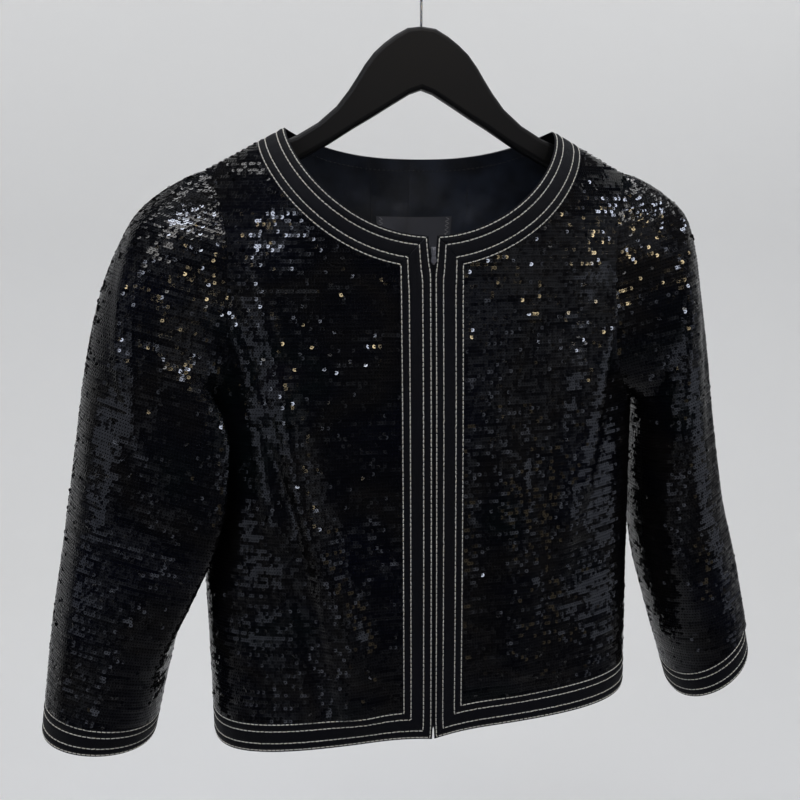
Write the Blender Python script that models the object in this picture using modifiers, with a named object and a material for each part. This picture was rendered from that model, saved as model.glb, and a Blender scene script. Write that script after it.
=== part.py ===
"""A cropped, collarless jacket with a front zip, bracelet-length sleeves and a broad edge band, on a hanger.

Metres, +Z up. The front faces -Y and the hanger lies in the plane Y = 0. The origin is the inner crown of
the hanger's hook, where it hangs on a rail. Heights in the tables are above the bottom of the front
neckline, and "left" is the viewer's left, at -X.
"""

import math

import bmesh
import bpy
import numpy as np
from mathutils import Vector

# Frame
NECK_Z = -0.2455  # the bottom of the front neckline, below the hook's crown

# Cloth
WALL = 0.0015  # sequinned cloth with its lining
SEAM = 0.0003  # what neighbouring pieces keep between them
MITRE_SEAM = SEAM * math.sqrt(2)  # the same, measured along an edge that a mitre ends
ARMHOLE_SEAM = 0.0005  # a little wider round the armhole, whose two edges have their points in different places
BAND_WIDTH = 0.0272
BAND_RISE = 0.0006  # how far the folded band stands above the cloth beside it
BAND_POINTS = 3  # across each band

TINY = 1e-5  # step from which slopes are found
WELD = 1e-5  # points nearer than this are one
ALIKE = 0.3  # cosine between two normals that face about the same way

# Torso: each row is a level section, half an oval in front of the hanger's plane and half behind it
HEM = -0.4376
UNDERARM = -0.152
TORSO = {
    "height":     (HEM,    -0.360, -0.300, UNDERARM, -0.050, 0.020, 0.100),
    "half_width": (0.1975, 0.1990, 0.2005, 0.1985,   0.203,  0.210, 0.214),
    "front":      (0.088,  0.086,  0.084,  0.077,    0.069,  0.063, 0.060),
    "back":       (0.050,  0.0495, 0.049,  0.047,    0.045,  0.043, 0.042),
    "square":     (3.8,    3.1,    2.6,    2.5,      2.4,    2.4,   2.4),
}

# Shoulders: a straight seam over the hanger, from which the cloth rounds away to its full depth
NECK_HALF = 0.117
NECK_TOP = 0.090
SHOULDER_HALF = 0.184
SHOULDER_TOP = 0.055
SHOULDER_SLOPE = (NECK_TOP - SHOULDER_TOP) / (SHOULDER_HALF - NECK_HALF)
ROUND_DROP = 0.100
ROUND_POWER = 1.7
TOP_BUNCH = 1.7  # how the rows of a panel close up towards the shoulder
UNDERARM_BUNCH = 2.3  # and how they open out again above the underarm

# Necklines: powers of the curves, and the height of the back one at its middle
NECK_POWER = 4 / 3
BACK_NECK = 0.069
BACK_NECK_POWER = 2.6
BACK_NECK_TURN = 0.6  # the share of the back neck from which the band turns towards the shoulder seam
NECK_POINTS = 14  # along each side's neck band, shared with the front beside it
NECK_BUNCH = 1.3

# Armhole: how far from the middle the cloth is cut, by height
ARMHOLE = {
    "height": (UNDERARM, -0.146, -0.133, -0.105, -0.070, -0.020, 0.020, SHOULDER_TOP),
    "front":  (0.1985,   0.1920, 0.1800, 0.1700, 0.1660, 0.1660, 0.170, SHOULDER_HALF),
    "back":   (0.1985,   0.1940, 0.1860, 0.1790, 0.1750, 0.1740, 0.176, SHOULDER_HALF),
}

BACK_FLAT = 0.72  # the share of the back's height up to which its rows are level

# How the hung cloth differs from an even one: the left side of the hem hangs lower, by this slope
HEM_TILT = 0.076

# Centre front: half the gap between the two fronts, by height
ZIP_GAP = {
    "height": (HEM,    HEM + 0.012, HEM + 0.016, -0.032, -0.020, -0.012, 0.0),
    "half":   (0.0012, 0.0006,      0.0005,      0.0005, 0.0020, 0.0028, 0.0038),
}

# The stiff zip and bands push the front out into a ridge down the middle
RIDGE_HALF = 0.050
RIDGE_STAND = 0.007

# Folds, each a ridge from its top to its foot: half widths, and how far it stands out
TORSO_FOLDS = {
    "side":     (-1,     -1,     -1,     1,      1,      1),
    "top_x":    (0.160,  0.140,  0.100,  0.158,  0.120,  0.060),
    "top":      (-0.080, -0.060, -0.250, -0.080, -0.120, -0.200),
    "foot_x":   (0.135,  0.075,  0.065,  0.125,  0.095,  0.075),
    "foot":     (-0.230, -0.330, -0.400, -0.260, -0.300, -0.380),
    "spread":   (0.010,  0.012,  0.020,  0.014,  0.018,  0.018),
    "stand":    (0.0040, 0.0050, 0.0040, 0.0040, 0.0030, 0.0035),
}

FOLD_FADE = 0.25  # of a fold's length, beyond each end
SIDE_CALM = 0.25  # shares of the way round over which folds die out, at the side and at the middle
MIDDLE_CALM = 0.17

# Sleeves: each row is a section from its outer edge to its inner edge
SLEEVE_LEFT = {
    "along":   (0.0,   0.05,  0.12,   0.20,   0.28,   0.38,   0.50,   0.64,   0.82,   1.0),
    "outer_x": (0.190, 0.210, 0.2335, 0.2555, 0.2735, 0.2905, 0.3035, 0.3175, 0.3345, 0.3495),
    "outer":   (0.056, 0.047, 0.028,  -0.005, -0.045, -0.105, -0.170, -0.238, -0.318, -0.412),
    "inner_x": (0.200, 0.204, 0.2055, 0.2060, 0.2065, 0.2075, 0.2110, 0.220,  0.236,  0.253),
    "inner":   (UNDERARM, -0.160, -0.168, -0.180, -0.198, -0.226, -0.264, -0.312, -0.368, -0.434),
    "front":   (-0.047, -0.052, -0.058, -0.062, -0.065, -0.067, -0.068, -0.067, -0.068, -0.071),
    "back":    (0.032, 0.037, 0.041,  0.044,  0.045,  0.045,  0.042,  0.037,  0.029,  0.018),
    "tuck":    (0.0,   0.010, 0.026,  0.042,  0.049,  0.050,  0.044,  0.028,  0.008,  0.0),
}
SLEEVE_RIGHT = {
    "along":   (0.0,   0.05,  0.12,   0.20,   0.28,   0.38,   0.50,   0.64,   0.82,   1.0),
    "outer_x": (0.190, 0.208, 0.227,  0.240,  0.248,  0.256,  0.266,  0.280,  0.302,  0.323),
    "outer":   (0.056, 0.050, 0.033,  0.002,  -0.040, -0.100, -0.165, -0.236, -0.321, -0.419),
    "inner_x": (0.200, 0.204, 0.2055, 0.2060, 0.2065, 0.2075, 0.2090, 0.214,  0.230,  0.255),
    "inner":   (UNDERARM, -0.160, -0.168, -0.180, -0.198, -0.226, -0.264, -0.314, -0.381, -0.465),
    "front":   (-0.047, -0.052, -0.058, -0.062, -0.065, -0.067, -0.068, -0.069, -0.070, -0.071),
    "back":    (0.032, 0.037, 0.041,  0.044,  0.046,  0.046,  0.044,  0.040,  0.031,  0.020),
    "tuck":    (0.0,   0.0,   0.0,    0.0,    0.0,    0.0,    0.0,    0.0,    0.0,    0.0),
}
TUCK_ANGLE = math.radians(128)  # the inner front corner, which tucks over the front of the body
TUCK_SPREAD = math.radians(24)
TUCK_FORWARD = 0.25  # how far it comes forward for each unit inwards
SLEEVE_POWER = 0.9  # under 1 fills out its oval section
SLEEVE_SETTLES = 0.16  # the share of its length over which the sleeve's head leaves the armhole's shape
SLEEVE_HEAD = 0.28  # the share of its length whose rows lie closer
SLEEVE_LENGTH = 0.50  # along its middle, which turns a width at the cuff into a share of the length
SLEEVE_RADIUS = 0.05
# Degrees round the sleeve where its lines run, closer where it turns fast
SLEEVE_LINES = (0, 2, 5, 9, 14, 21, 31, 45, 63, 83, 104, 125, 144, 159, 171, 180)
SLEEVE_SLIVER = math.radians(3.5)  # no line runs nearer than this to a seam
SEAMS_LEFT = (math.radians(15), math.radians(215))  # where the sleeve's two seams run, round from the outer edge
SEAMS_RIGHT = (math.radians(-35), math.radians(165))

# Hanger: half its outline, from the top of its middle out and back, as distance from the middle and height
HANGER_THICK = 0.012
HANGER_ROUND = 0.004
HANGER_TOP = (
    (0.0, 0.1735), (0.012, 0.1720), (0.023, 0.166), (0.032, 0.1595), (0.0405, 0.1520),
    (0.0485, 0.1420), (0.055, 0.1320), (0.0625, 0.1210), (0.073, 0.1080), (0.089, 0.0945),
    (0.108, 0.0835), (0.130, 0.0750), (0.150, 0.0676), (0.166, 0.0599), (0.177, 0.0535),
)
HANGER_END = ((0.180, 0.049), (0.180, 0.039))
HANGER_BOTTOM = (
    (0.170, 0.034), (0.145, 0.044), (0.110, 0.061), (0.080, 0.077), (0.059, 0.0900),
    (0.0425, 0.0995), (0.026, 0.1095), (0.010, 0.119), (0.0, 0.1225),
)

# Hook
WIRE = 0.0011
HOOK_INSIDE = 0.017
HOOK_START = math.radians(-90)  # its two ends, round from the crown
HOOK_END = math.radians(140)
HOOK_POINTS = 26
HOOK_NECK = 0.024  # how far below the crook's start the straight shank ends

# Zip
TAPE_THICK = 0.0006
TAPE_PROUD = -0.08  # where the tape's two edges lie, from the band's edge to its middle
TAPE_REACH = 0.85
SLIDER_WIDTH = 0.0036
SLIDER_BACK = 0.0035  # how far the slider reaches behind the bands' front
SLIDER_TALL = 0.0060
SLIDER_HEIGHT = -0.0120
SLIDER_BEVEL = 0.0004
PULL_RISE = 0.0012  # its hinge above the slider's middle
PULL_WIDTH = 0.0046
PULL_LENGTH = 0.0120
PULL_THICK = 0.0010
PULL_TOP = 0.0006  # radius of its top, less than its middle's distance from the slider, so that it can swing

# Back neck facing and label
FACING_ROWS = 11
FACING_COLUMNS = 8
FACING_THICK = 0.0008
LABEL_COLUMNS = 2  # of the facing's columns, each side of the middle
LABEL_TOP = 0.017
LABEL_FOOT = -0.017
LABEL_THICK = 0.0006

COLOURS = {  # base colour, roughness, metallic
    "sequinned_cloth": ((0.010, 0.010, 0.012, 1.0), 0.32, 0.0),
    "navy_band":       ((0.008, 0.009, 0.016, 1.0), 0.62, 0.0),
    "lining":          ((0.010, 0.011, 0.020, 1.0), 0.45, 0.0),
    "label_cloth":     ((0.020, 0.020, 0.024, 1.0), 0.60, 0.0),
    "zip_tape":        ((0.006, 0.006, 0.009, 1.0), 0.80, 0.0),
    "zip_metal":       ((0.160, 0.160, 0.170, 1.0), 0.30, 1.0),
    "hanger_plastic":  ((0.012, 0.012, 0.013, 1.0), 0.42, 0.0),
    "hook_wire":       ((0.550, 0.550, 0.560, 1.0), 0.28, 1.0),
}


def clear_scene():
    for obj in list(bpy.data.objects):
        bpy.data.objects.remove(obj, do_unlink=True)


def material(name):
    made = bpy.data.materials.get(name) or bpy.data.materials.new(name)
    made.use_nodes = True
    colour, roughness, metallic = COLOURS[name]
    shader = made.node_tree.nodes["Principled BSDF"]
    shader.inputs["Base Color"].default_value = colour
    shader.inputs["Roughness"].default_value = roughness
    shader.inputs["Metallic"].default_value = metallic
    return made


def read_table(table, column, at, by="height"):
    """A column of a table as a smooth curve through its rows, kept level outside them."""
    places = np.asarray(table[by], float)
    values = np.asarray(table[column], float)
    steps = np.diff(places)
    slopes = np.diff(values) / steps
    tangents = np.zeros(len(places))
    same_way = slopes[:-1] * slopes[1:] > 0
    means = 2 * slopes[:-1] * slopes[1:] / np.where(same_way, slopes[:-1] + slopes[1:], 1)
    tangents[1:-1] = np.where(same_way, means, 0)
    tangents[0] = slopes[0]
    tangents[-1] = slopes[-1]
    at = np.clip(np.asarray(at, float), places[0], places[-1])
    row = np.clip(np.searchsorted(places, at, side="right") - 1, 0, len(steps) - 1)
    t = (at - places[row]) / steps[row]
    return (
        values[row] * (1 + 2 * t) * (1 - t) ** 2
        + values[row + 1] * t * t * (3 - 2 * t)
        + steps[row] * t * (1 - t) * (tangents[row] * (1 - t) - tangents[row + 1] * t)
    )


def ease(t):
    t = np.clip(t, 0, 1)
    return t * t * (3 - 2 * t)


def mix(a, b, t):
    return a + (b - a) * t


def shoulder_line(x):
    return NECK_TOP - SHOULDER_SLOPE * (np.abs(x) - NECK_HALF)


def hang(x, y, height):
    """Places a point of the even garment where the hung one has it."""
    return np.stack([x, y, NECK_Z + height + HEM_TILT * x * ease(height / HEM)], axis=-1)


def quarter_section(height, face):
    """Points of a quarter of the oval at each height, from the middle to the side, and how far along they are."""
    angle = np.linspace(0, math.pi / 2, 90)
    power = 2 / read_table(TORSO, "square", height)[..., None]
    x = read_table(TORSO, "half_width", height)[..., None] * np.sin(angle) ** power
    y = read_table(TORSO, face, height)[..., None] * np.clip(np.cos(angle), 0, 1) ** power
    steps = np.hypot(np.diff(x, axis=-1), np.diff(y, axis=-1))
    along = np.concatenate([np.zeros_like(x[..., :1]), np.cumsum(steps, axis=-1)], axis=-1)
    return x, y, along


def share_round(x, height, face):
    """How far round the quarter section, from 0 at the middle to 1 at the side, a distance from the middle is."""
    x, height = np.broadcast_arrays(np.asarray(x, float), np.asarray(height, float))
    sides, _, along = quarter_section(height.ravel(), face)
    found = [np.interp(a, s, l / l[-1]) for a, s, l in zip(x.ravel(), sides, along)]
    return np.reshape(found, x.shape)


def fold_stand(x, height, side):
    """How far the folds lift the front at a place."""
    lift = np.zeros_like(x)
    for row in range(len(TORSO_FOLDS["side"])):
        fold = {name: values[row] for name, values in TORSO_FOLDS.items()}
        if fold["side"] != side:
            continue
        along = (height - fold["top"]) / (fold["foot"] - fold["top"])
        middle = mix(fold["top_x"], fold["foot_x"], along)
        across = np.exp(-(((x - middle) / fold["spread"]) ** 2))
        lift += fold["stand"] * across * ease(1 + np.minimum(along, 1 - along) / FOLD_FADE)
    return lift


def torso(round_share, height, side, face):
    """The cloth's outer surface on one side of the garment's front or back."""
    round_share, height = np.broadcast_arrays(np.asarray(round_share, float), np.asarray(height, float))
    sides, depths, along = quarter_section(height.ravel(), face)
    x = np.empty(round_share.size)
    y = np.empty(round_share.size)
    for i, share in enumerate(round_share.ravel()):
        x[i] = np.interp(share * along[i, -1], along[i], sides[i])
        y[i] = np.interp(share * along[i, -1], along[i], depths[i])
    x = x.reshape(round_share.shape)
    y = y.reshape(round_share.shape)
    below = np.clip((shoulder_line(x) - height) / ROUND_DROP, 0, 1)
    y = y * (1 - (1 - below) ** ROUND_POWER) ** (1 / ROUND_POWER)
    if face == "front":
        clear = ease((1 - round_share) / SIDE_CALM) * ease(round_share / MIDDLE_CALM)
        y = y + fold_stand(x, height, side) * clear + RIDGE_STAND * (1 - np.clip(x / RIDGE_HALF, 0, 1)) ** 2
    return hang(side * x, y if face == "back" else -y, height)


def face_out(side, face):
    """The sign that turns the cross product of a torso surface's directions outwards."""
    return side if face == "front" else -side


def normals(surface, a, b, out):
    """Unit normals of a surface at its coordinates a and b."""
    first = surface(a + TINY, b) - surface(a - TINY, b)
    second = surface(a, b + TINY) - surface(a, b - TINY)
    found = np.cross(first, second) * out
    return found / np.linalg.norm(found, axis=-1, keepdims=True)


def grid_mesh(name, outer, inner, look, ring=False):
    """Joins two grids of points, outer and inner, into one closed wall. A ring's last column meets its first."""
    rows, columns = outer.shape[:2]
    shape = bmesh.new()
    skins = [[[shape.verts.new(point) for point in row] for row in skin] for skin in (outer, inner)]
    spans = range(columns if ring else columns - 1)

    def quad(*corners):
        shape.faces.new(corners)

    for i in range(rows - 1):
        for j in spans:
            k = (j + 1) % columns
            out, into = skins
            quad(out[i][j], out[i][k], out[i + 1][k], out[i + 1][j])
            quad(into[i][j], into[i + 1][j], into[i + 1][k], into[i][k])
    for j in spans:
        k = (j + 1) % columns
        for i in (0, rows - 1):
            out, into = skins[0][i], skins[1][i]
            quad(out[j], into[j], into[k], out[k])
    if not ring:
        for i in range(rows - 1):
            for j in (0, columns - 1):
                out, into = skins
                quad(out[i][j], into[i][j], into[i + 1][j], out[i + 1][j])
    bmesh.ops.recalc_face_normals(shape, faces=shape.faces)
    mesh = bpy.data.meshes.new(name)
    shape.to_mesh(mesh)
    shape.free()
    mesh.shade_smooth()
    mesh.set_sharp_from_angle(angle=math.radians(50))
    add_object(name, mesh, look)
    return outer, inner


def add_object(name, data, look):
    obj = bpy.data.objects.new(name, data)
    obj.data.materials.clear()
    obj.data.materials.append(material(look))
    jacket.objects.link(obj)
    return obj


def keep_side(points, face):
    """Holds a front piece in front of the side and shoulder seams, and a back piece behind them."""
    kept = points.copy()
    ahead = kept[..., 1]
    kept[..., 1] = np.minimum(ahead, -SEAM / 2) if face == "front" else np.maximum(ahead, SEAM / 2)
    return kept


def torso_wall(round_share, height, side, face, rise=0.0, thick=WALL):
    """Outer and inner grids of a piece that lies on the torso, from its places on one side of the front or back."""

    def surface(a, b):
        return torso(a, b, side, face)

    points = surface(round_share, height)
    out = normals(surface, round_share, height, face_out(side, face))
    outer = keep_side(points + out * rise, face)
    inner = keep_side(points + out * (rise - thick), face)
    return outer, inner


def whole_back(round_share, height, rise=0.0, thick=WALL):
    """Like torso_wall, for a piece that runs across both sides of the back. Its first column is the middle."""
    right = torso_wall(round_share, height, 1, "back", rise, thick)
    left = torso_wall(round_share, height, -1, "back", rise, thick)
    return [np.concatenate([b[:, :0:-1], a], axis=1) for a, b in zip(right, left)]


def neckline(t):
    """The front neck edge, from the middle to the shoulder, as distance from the middle and height."""
    angle = t * math.pi / 2
    x = NECK_HALF * np.sin(angle)
    return x, NECK_TOP * (1 - np.clip(np.cos(angle), 0, 1) ** NECK_POWER)


def back_neckline(x):
    return BACK_NECK + (NECK_TOP - BACK_NECK) * (np.abs(x) / NECK_HALF) ** BACK_NECK_POWER


def spread_along(x, height, count):
    """The same curve as fewer points, which close up towards the shoulder, where the cloth rounds over."""
    along = np.concatenate([[0], np.cumsum(np.hypot(np.diff(x), np.diff(height)))])
    places = along[-1] * (1 - (1 - np.linspace(0, 1, count)) ** NECK_BUNCH)
    return np.interp(places, along, x), np.interp(places, along, height)


def band_edge(width, count):
    """The line at a distance outside the front neckline, from the mitre to the shoulder seam."""
    t = np.linspace(0, 1, 200)
    x, height = neckline(t)
    angle = np.arctan2(np.gradient(height, t), np.gradient(x, t)) - math.pi / 2
    angle = np.minimum(angle, -math.atan(SHOULDER_SLOPE))
    x = x + width * np.cos(angle)
    height = height + width * np.sin(angle)
    height[-1] = shoulder_line(x[-1])
    mitred = x >= width
    x, height = x[mitred], height[mitred]
    first = np.interp(width, x, height)
    return spread_along(np.append(width, x), np.append(first, height), count)


def corner_height(width):
    """Where the line at a distance inside the front edge meets the one that follows the neck."""
    return band_edge(width, 2)[1][0]


def zip_gap(height):
    return read_table(ZIP_GAP, "half", height)


def front_panel(name, side):
    """A front, inside its bands: rows from the hem band up to the shoulder seam."""
    columns = 17
    inset = BAND_WIDTH + SEAM
    edge_x, edge_height = band_edge(inset, NECK_POINTS)
    armhole = mix(UNDERARM, edge_height[0], np.linspace(0, 1, 11)[1:] ** UNDERARM_BUNCH)
    low = np.concatenate([np.linspace(HEM + inset, UNDERARM, 11), armhole])
    high = 1 - (1 - np.linspace(0, 1, NECK_POINTS)[1:]) ** TOP_BUNCH
    inner_height = np.concatenate([low, edge_height[1:]])
    outer_height = np.concatenate([low, mix(low[-1], SHOULDER_TOP, high)])
    inner_x = np.concatenate([np.full(len(low), inset), edge_x[1:]])
    share_in = share_round(inner_x, inner_height, "front")
    share_out = share_round(read_table(ARMHOLE, "front", outer_height), outer_height, "front")
    share_out = np.where(outer_height <= UNDERARM, 1, share_out)
    t = np.linspace(0, 1, columns)[None, :]
    share = mix(share_in[:, None], share_out[:, None], t)
    height = mix(inner_height[:, None], outer_height[:, None], t)
    outer, inner = torso_wall(share, height, side, "front")
    grid_mesh(name, outer, inner, "sequinned_cloth")


def back_panel(name):
    """The back, from side seam to side seam."""
    columns = 13
    inset = BAND_WIDTH + SEAM
    edge_x = np.linspace(0, NECK_HALF + inset * math.cos(math.atan(SHOULDER_SLOPE)), columns)
    top_height = back_edge(edge_x, inset)
    hem_level = HEM + inset
    underarm = (UNDERARM - hem_level) / (SHOULDER_TOP - hem_level)
    armhole = mix(underarm, BACK_FLAT, np.linspace(0, 1, 9)[1:] ** UNDERARM_BUNCH)
    top_rows = mix(BACK_FLAT, 1, 1 - (1 - np.linspace(0, 1, FACING_ROWS)[1:]) ** TOP_BUNCH)
    rows = np.concatenate([np.linspace(0, underarm, 9), armhole, top_rows])
    t = np.linspace(0, 1, columns)
    # The top row has its corner, between the neck band and the shoulder seam, at this share of the columns
    neck_part = FACING_COLUMNS / (columns - 1)
    corner_x = edge_x[-1]
    row_x = np.where(
        t < neck_part, corner_x * t / neck_part, mix(corner_x, SHOULDER_HALF, (t - neck_part) / (1 - neck_part))
    )
    top = np.where(row_x <= corner_x, np.interp(row_x, edge_x, top_height), shoulder_line(row_x))
    level = mix(hem_level, SHOULDER_TOP, rows)[:, None]
    rise = ease((rows - BACK_FLAT) / (1 - BACK_FLAT))[:, None]
    height = level + (top[None, :] - SHOULDER_TOP) * rise
    side_share = share_round(read_table(ARMHOLE, "back", level), level, "back")
    side_share = np.where(level <= UNDERARM, 1, side_share)
    at_top = share_round(row_x, top, "back")
    share = side_share * mix(t[None, :], (at_top / at_top[-1])[None, :], rise)
    outer, inner = whole_back(share, height)
    grid_mesh(name, outer, inner, "sequinned_cloth")
    neck = t <= neck_part
    return share[-FACING_ROWS:, neck], height[-FACING_ROWS:, neck]


def back_edge(x, width):
    """The line at a distance below the back neckline."""
    t = np.linspace(0, 1, 200)
    neck_x = NECK_HALF * t
    height = back_neckline(neck_x)
    angle = np.arctan2(np.gradient(height, neck_x), 1) - math.pi / 2
    end = -math.atan(SHOULDER_SLOPE)
    angle = mix(angle, end, ease((t - BACK_NECK_TURN) / (1 - BACK_NECK_TURN)))
    return np.interp(x, neck_x + width * np.cos(angle), height + width * np.sin(angle))


def strip(name, side, inner_line, outer_line):
    """A band on the front between two lines, each a list of distances from the middle and heights."""
    t = np.linspace(0, 1, BAND_POINTS)[:, None]
    height = mix(inner_line[1][None, :], outer_line[1][None, :], t)
    first = share_round(*inner_line, "front")
    last = share_round(*outer_line, "front")
    share = mix(first[None, :], last[None, :], t)
    outer, inner = torso_wall(share, height, side, "front", BAND_RISE, WALL + BAND_RISE)
    return grid_mesh(name, outer, inner, "navy_band")


def neck_band(name, side):
    """The band round one side of the front neck, from its mitre to the shoulder seam."""
    x, height = neckline(np.linspace(0, 1, 200))
    keep = x >= zip_gap(0) + SEAM
    inner_line = spread_along(x[keep], height[keep], NECK_POINTS)
    strip(name, side, inner_line, band_edge(BAND_WIDTH, NECK_POINTS))


def front_band(name, side):
    """The band down one side of the zip, mitred at both ends."""
    count = 19
    top_corner = corner_height(BAND_WIDTH) - MITRE_SEAM
    inner_height = np.linspace(HEM + SEAM, -SEAM, count)
    outer_height = np.linspace(HEM + BAND_WIDTH + MITRE_SEAM, top_corner, count)
    inner_line = (zip_gap(inner_height), inner_height)
    outer_line = (np.full(count, BAND_WIDTH), outer_height)
    return strip(name, side, inner_line, outer_line)


def hem_band(name, side):
    """The band along one front's hem, from its mitre to the side seam."""
    count = 15
    first = share_round(zip_gap(HEM) + MITRE_SEAM, HEM, "front")
    corner = share_round(BAND_WIDTH, HEM + BAND_WIDTH, "front")
    t = np.linspace(0, 1, BAND_POINTS)[:, None]
    share = mix(mix(first, corner, t), 1, np.linspace(0, 1, count)[None, :])
    height = mix(HEM, HEM + BAND_WIDTH, np.broadcast_to(t, share.shape))
    outer, inner = torso_wall(share, height, side, "front", BAND_RISE, WALL + BAND_RISE)
    grid_mesh(name, outer, inner, "navy_band")


def hem_band_back(name):
    share, across = np.meshgrid(np.linspace(0, 1, 13), np.linspace(0, 1, BAND_POINTS))
    height = mix(HEM, HEM + BAND_WIDTH, across)
    outer, inner = whole_back(share, height, BAND_RISE, WALL + BAND_RISE)
    grid_mesh(name, outer, inner, "navy_band")


def neck_band_back(name):
    """The band round the back of the neck, between the shoulder seams."""
    count = 9
    t = np.linspace(0, 1, count)
    neck_x = NECK_HALF * t
    neck_height = back_neckline(neck_x)
    out_x = (NECK_HALF + BAND_WIDTH * math.cos(math.atan(SHOULDER_SLOPE))) * t
    out_height = back_edge(out_x, BAND_WIDTH)
    out_height[-1] = shoulder_line(out_x[-1])
    s = np.linspace(0, 1, BAND_POINTS)[:, None]
    height = mix(out_height[None, :], neck_height[None, :], s)
    share = mix(
        share_round(out_x, out_height, "back")[None, :], share_round(neck_x, neck_height, "back")[None, :], s
    )
    outer, inner = whole_back(share, height, BAND_RISE, WALL + BAND_RISE)
    grid_mesh(name, outer, inner, "navy_band")
    return share, height


def armhole_point(t, face, beyond=0.0):
    """A place on the armhole, from the shoulder at t = 0 to the underarm at t = 1, moved into the hole."""
    heights = np.linspace(SHOULDER_TOP, UNDERARM, 120)
    shares = share_round(read_table(ARMHOLE, face, heights), heights, face)
    lengths = quarter_section(heights, face)[2][:, -1]
    arcs = shares * lengths
    arcs[-1] = lengths[-1]
    # Distances are taken from the side seam, so that the cut's length is the cloth's
    from_side = lengths - arcs
    along = np.concatenate([[0], np.cumsum(np.hypot(np.diff(from_side), np.diff(heights)))])
    at = np.asarray(t, float) * along[-1]
    height = np.interp(at, along, heights)
    inset = np.interp(at, along, from_side)
    inward_inset = np.gradient(heights, along)
    inward_height = -np.gradient(from_side, along)
    inset = inset + beyond * np.interp(at, along, inward_inset)
    height = height + beyond * np.interp(at, along, inward_height)
    length = quarter_section(np.asarray(height, float), face)[2][..., -1]
    return np.clip(1 - inset / length, 0, 1), height


def sleeve(angle, along, side):
    """The sleeve's outer surface: the angle runs from the outer or top edge through the front, the share down it."""
    table = SLEEVE_LEFT if side < 0 else SLEEVE_RIGHT
    angle, along = np.broadcast_arrays(np.asarray(angle, float), np.asarray(along, float))
    column = {name: read_table(table, name, along, by="along") for name in table if name != "along"}
    across = (1 + np.cos(angle)) / 2
    x = mix(column["inner_x"], column["outer_x"], across)
    height = mix(column["inner"], column["outer"], across)
    middle = (column["front"] + column["back"]) / 2
    half = (column["back"] - column["front"]) / 2
    swell = np.abs(np.sin(angle)) ** SLEEVE_POWER * np.sign(np.sin(angle))
    y = middle - half * swell
    turned = np.mod(angle, 2 * math.pi)
    tuck = column["tuck"] * np.exp(-(((turned - TUCK_ANGLE) / TUCK_SPREAD) ** 2))
    x = x - tuck
    y = y - tuck * TUCK_FORWARD
    hung = hang(side * x, y, height)
    settled = ease(along / SLEEVE_SETTLES)[..., None]
    return mix(armhole_ring(angle, side), hung, settled)


def round_armhole(angle, side, measure):
    """A measure of the torso just inside the armhole, at angles from the shoulder round through the front."""
    turned = np.mod(angle, 2 * math.pi)
    found = np.empty(angle.shape + (3,))
    for face, t, here in (
        ("front", turned / math.pi, turned <= math.pi),
        ("back", 2 - turned / math.pi, turned > math.pi),
    ):
        share, height = armhole_point(np.clip(t[here], 0, 1), face, ARMHOLE_SEAM)
        found[here] = measure(share, height, side, face)
    return found


def armhole_ring(angle, side):
    """The sleeve's first ring."""
    return round_armhole(angle, side, torso)


def armhole_normals(angle, side):
    def measure(share, height, side, face):
        def surface(a, b):
            return torso(a, b, side, face)

        return normals(surface, share, height, face_out(side, face))

    return round_armhole(angle, side, measure)


def sleeve_wall(angle, along, side, rise=0.0, thick=WALL):
    def surface(a, b):
        return sleeve(a, b, side)

    points = surface(angle, along)
    out = normals(surface, angle, np.maximum(along, 2 * TINY), side)
    if along.flat[0] == 0:
        # The first ring faces as the torso does, except where the sleeve turns away from it at the underarm
        at_hole = armhole_normals(angle[0], side)
        alike = (at_hole * out[0]).sum(axis=-1, keepdims=True) > ALIKE
        out[0] = np.where(alike, at_hole, out[0])
    return points + out * rise, points + out * (rise - thick)


def sleeve_piece(name, side, start, end):
    """One piece of the sleeve, between two seams."""
    seam = SEAM / 2 / SLEEVE_RADIUS
    lines = np.array(SLEEVE_LINES + tuple(360 - line for line in SLEEVE_LINES[-2:0:-1]))
    lines = np.radians(np.concatenate([lines - 360, lines, lines + 360]))
    inside = (lines > start + SLEEVE_SLIVER) & (lines < end - SLEEVE_SLIVER)
    angle = np.concatenate([[start + seam], lines[inside], [end - seam]])[None, :]
    cuff = 1 - (BAND_WIDTH + SEAM) / SLEEVE_LENGTH
    along = np.concatenate([np.linspace(0, SLEEVE_HEAD, 8), np.linspace(SLEEVE_HEAD, cuff, 13)[1:]])[:, None]
    angle, along = np.broadcast_arrays(angle, along)
    outer, inner = sleeve_wall(angle.copy(), along.copy(), side)
    grid_mesh(name, outer, inner, "sequinned_cloth")


def cuff_band(name, side):
    angle = np.linspace(0, 2 * math.pi, 25)[None, :-1]
    along = np.linspace(1 - BAND_WIDTH / SLEEVE_LENGTH, 1, BAND_POINTS)[:, None]
    angle, along = np.broadcast_arrays(angle, along)
    outer, inner = sleeve_wall(angle.copy(), along.copy(), side, BAND_RISE, WALL + BAND_RISE)
    grid_mesh(name, outer, inner, "navy_band", ring=True)


def facing(name, panel_places, band_places):
    """The smooth facing inside the back neck, on the places of the back and of its neck band."""
    share, height = (np.concatenate([a, b]) for a, b in zip(panel_places, band_places))
    share, height = share[:, :FACING_COLUMNS], height[:, :FACING_COLUMNS]
    outer, inner = whole_back(share, height, -WALL - SEAM, FACING_THICK)
    return grid_mesh(name, outer, inner, "lining")


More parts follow.
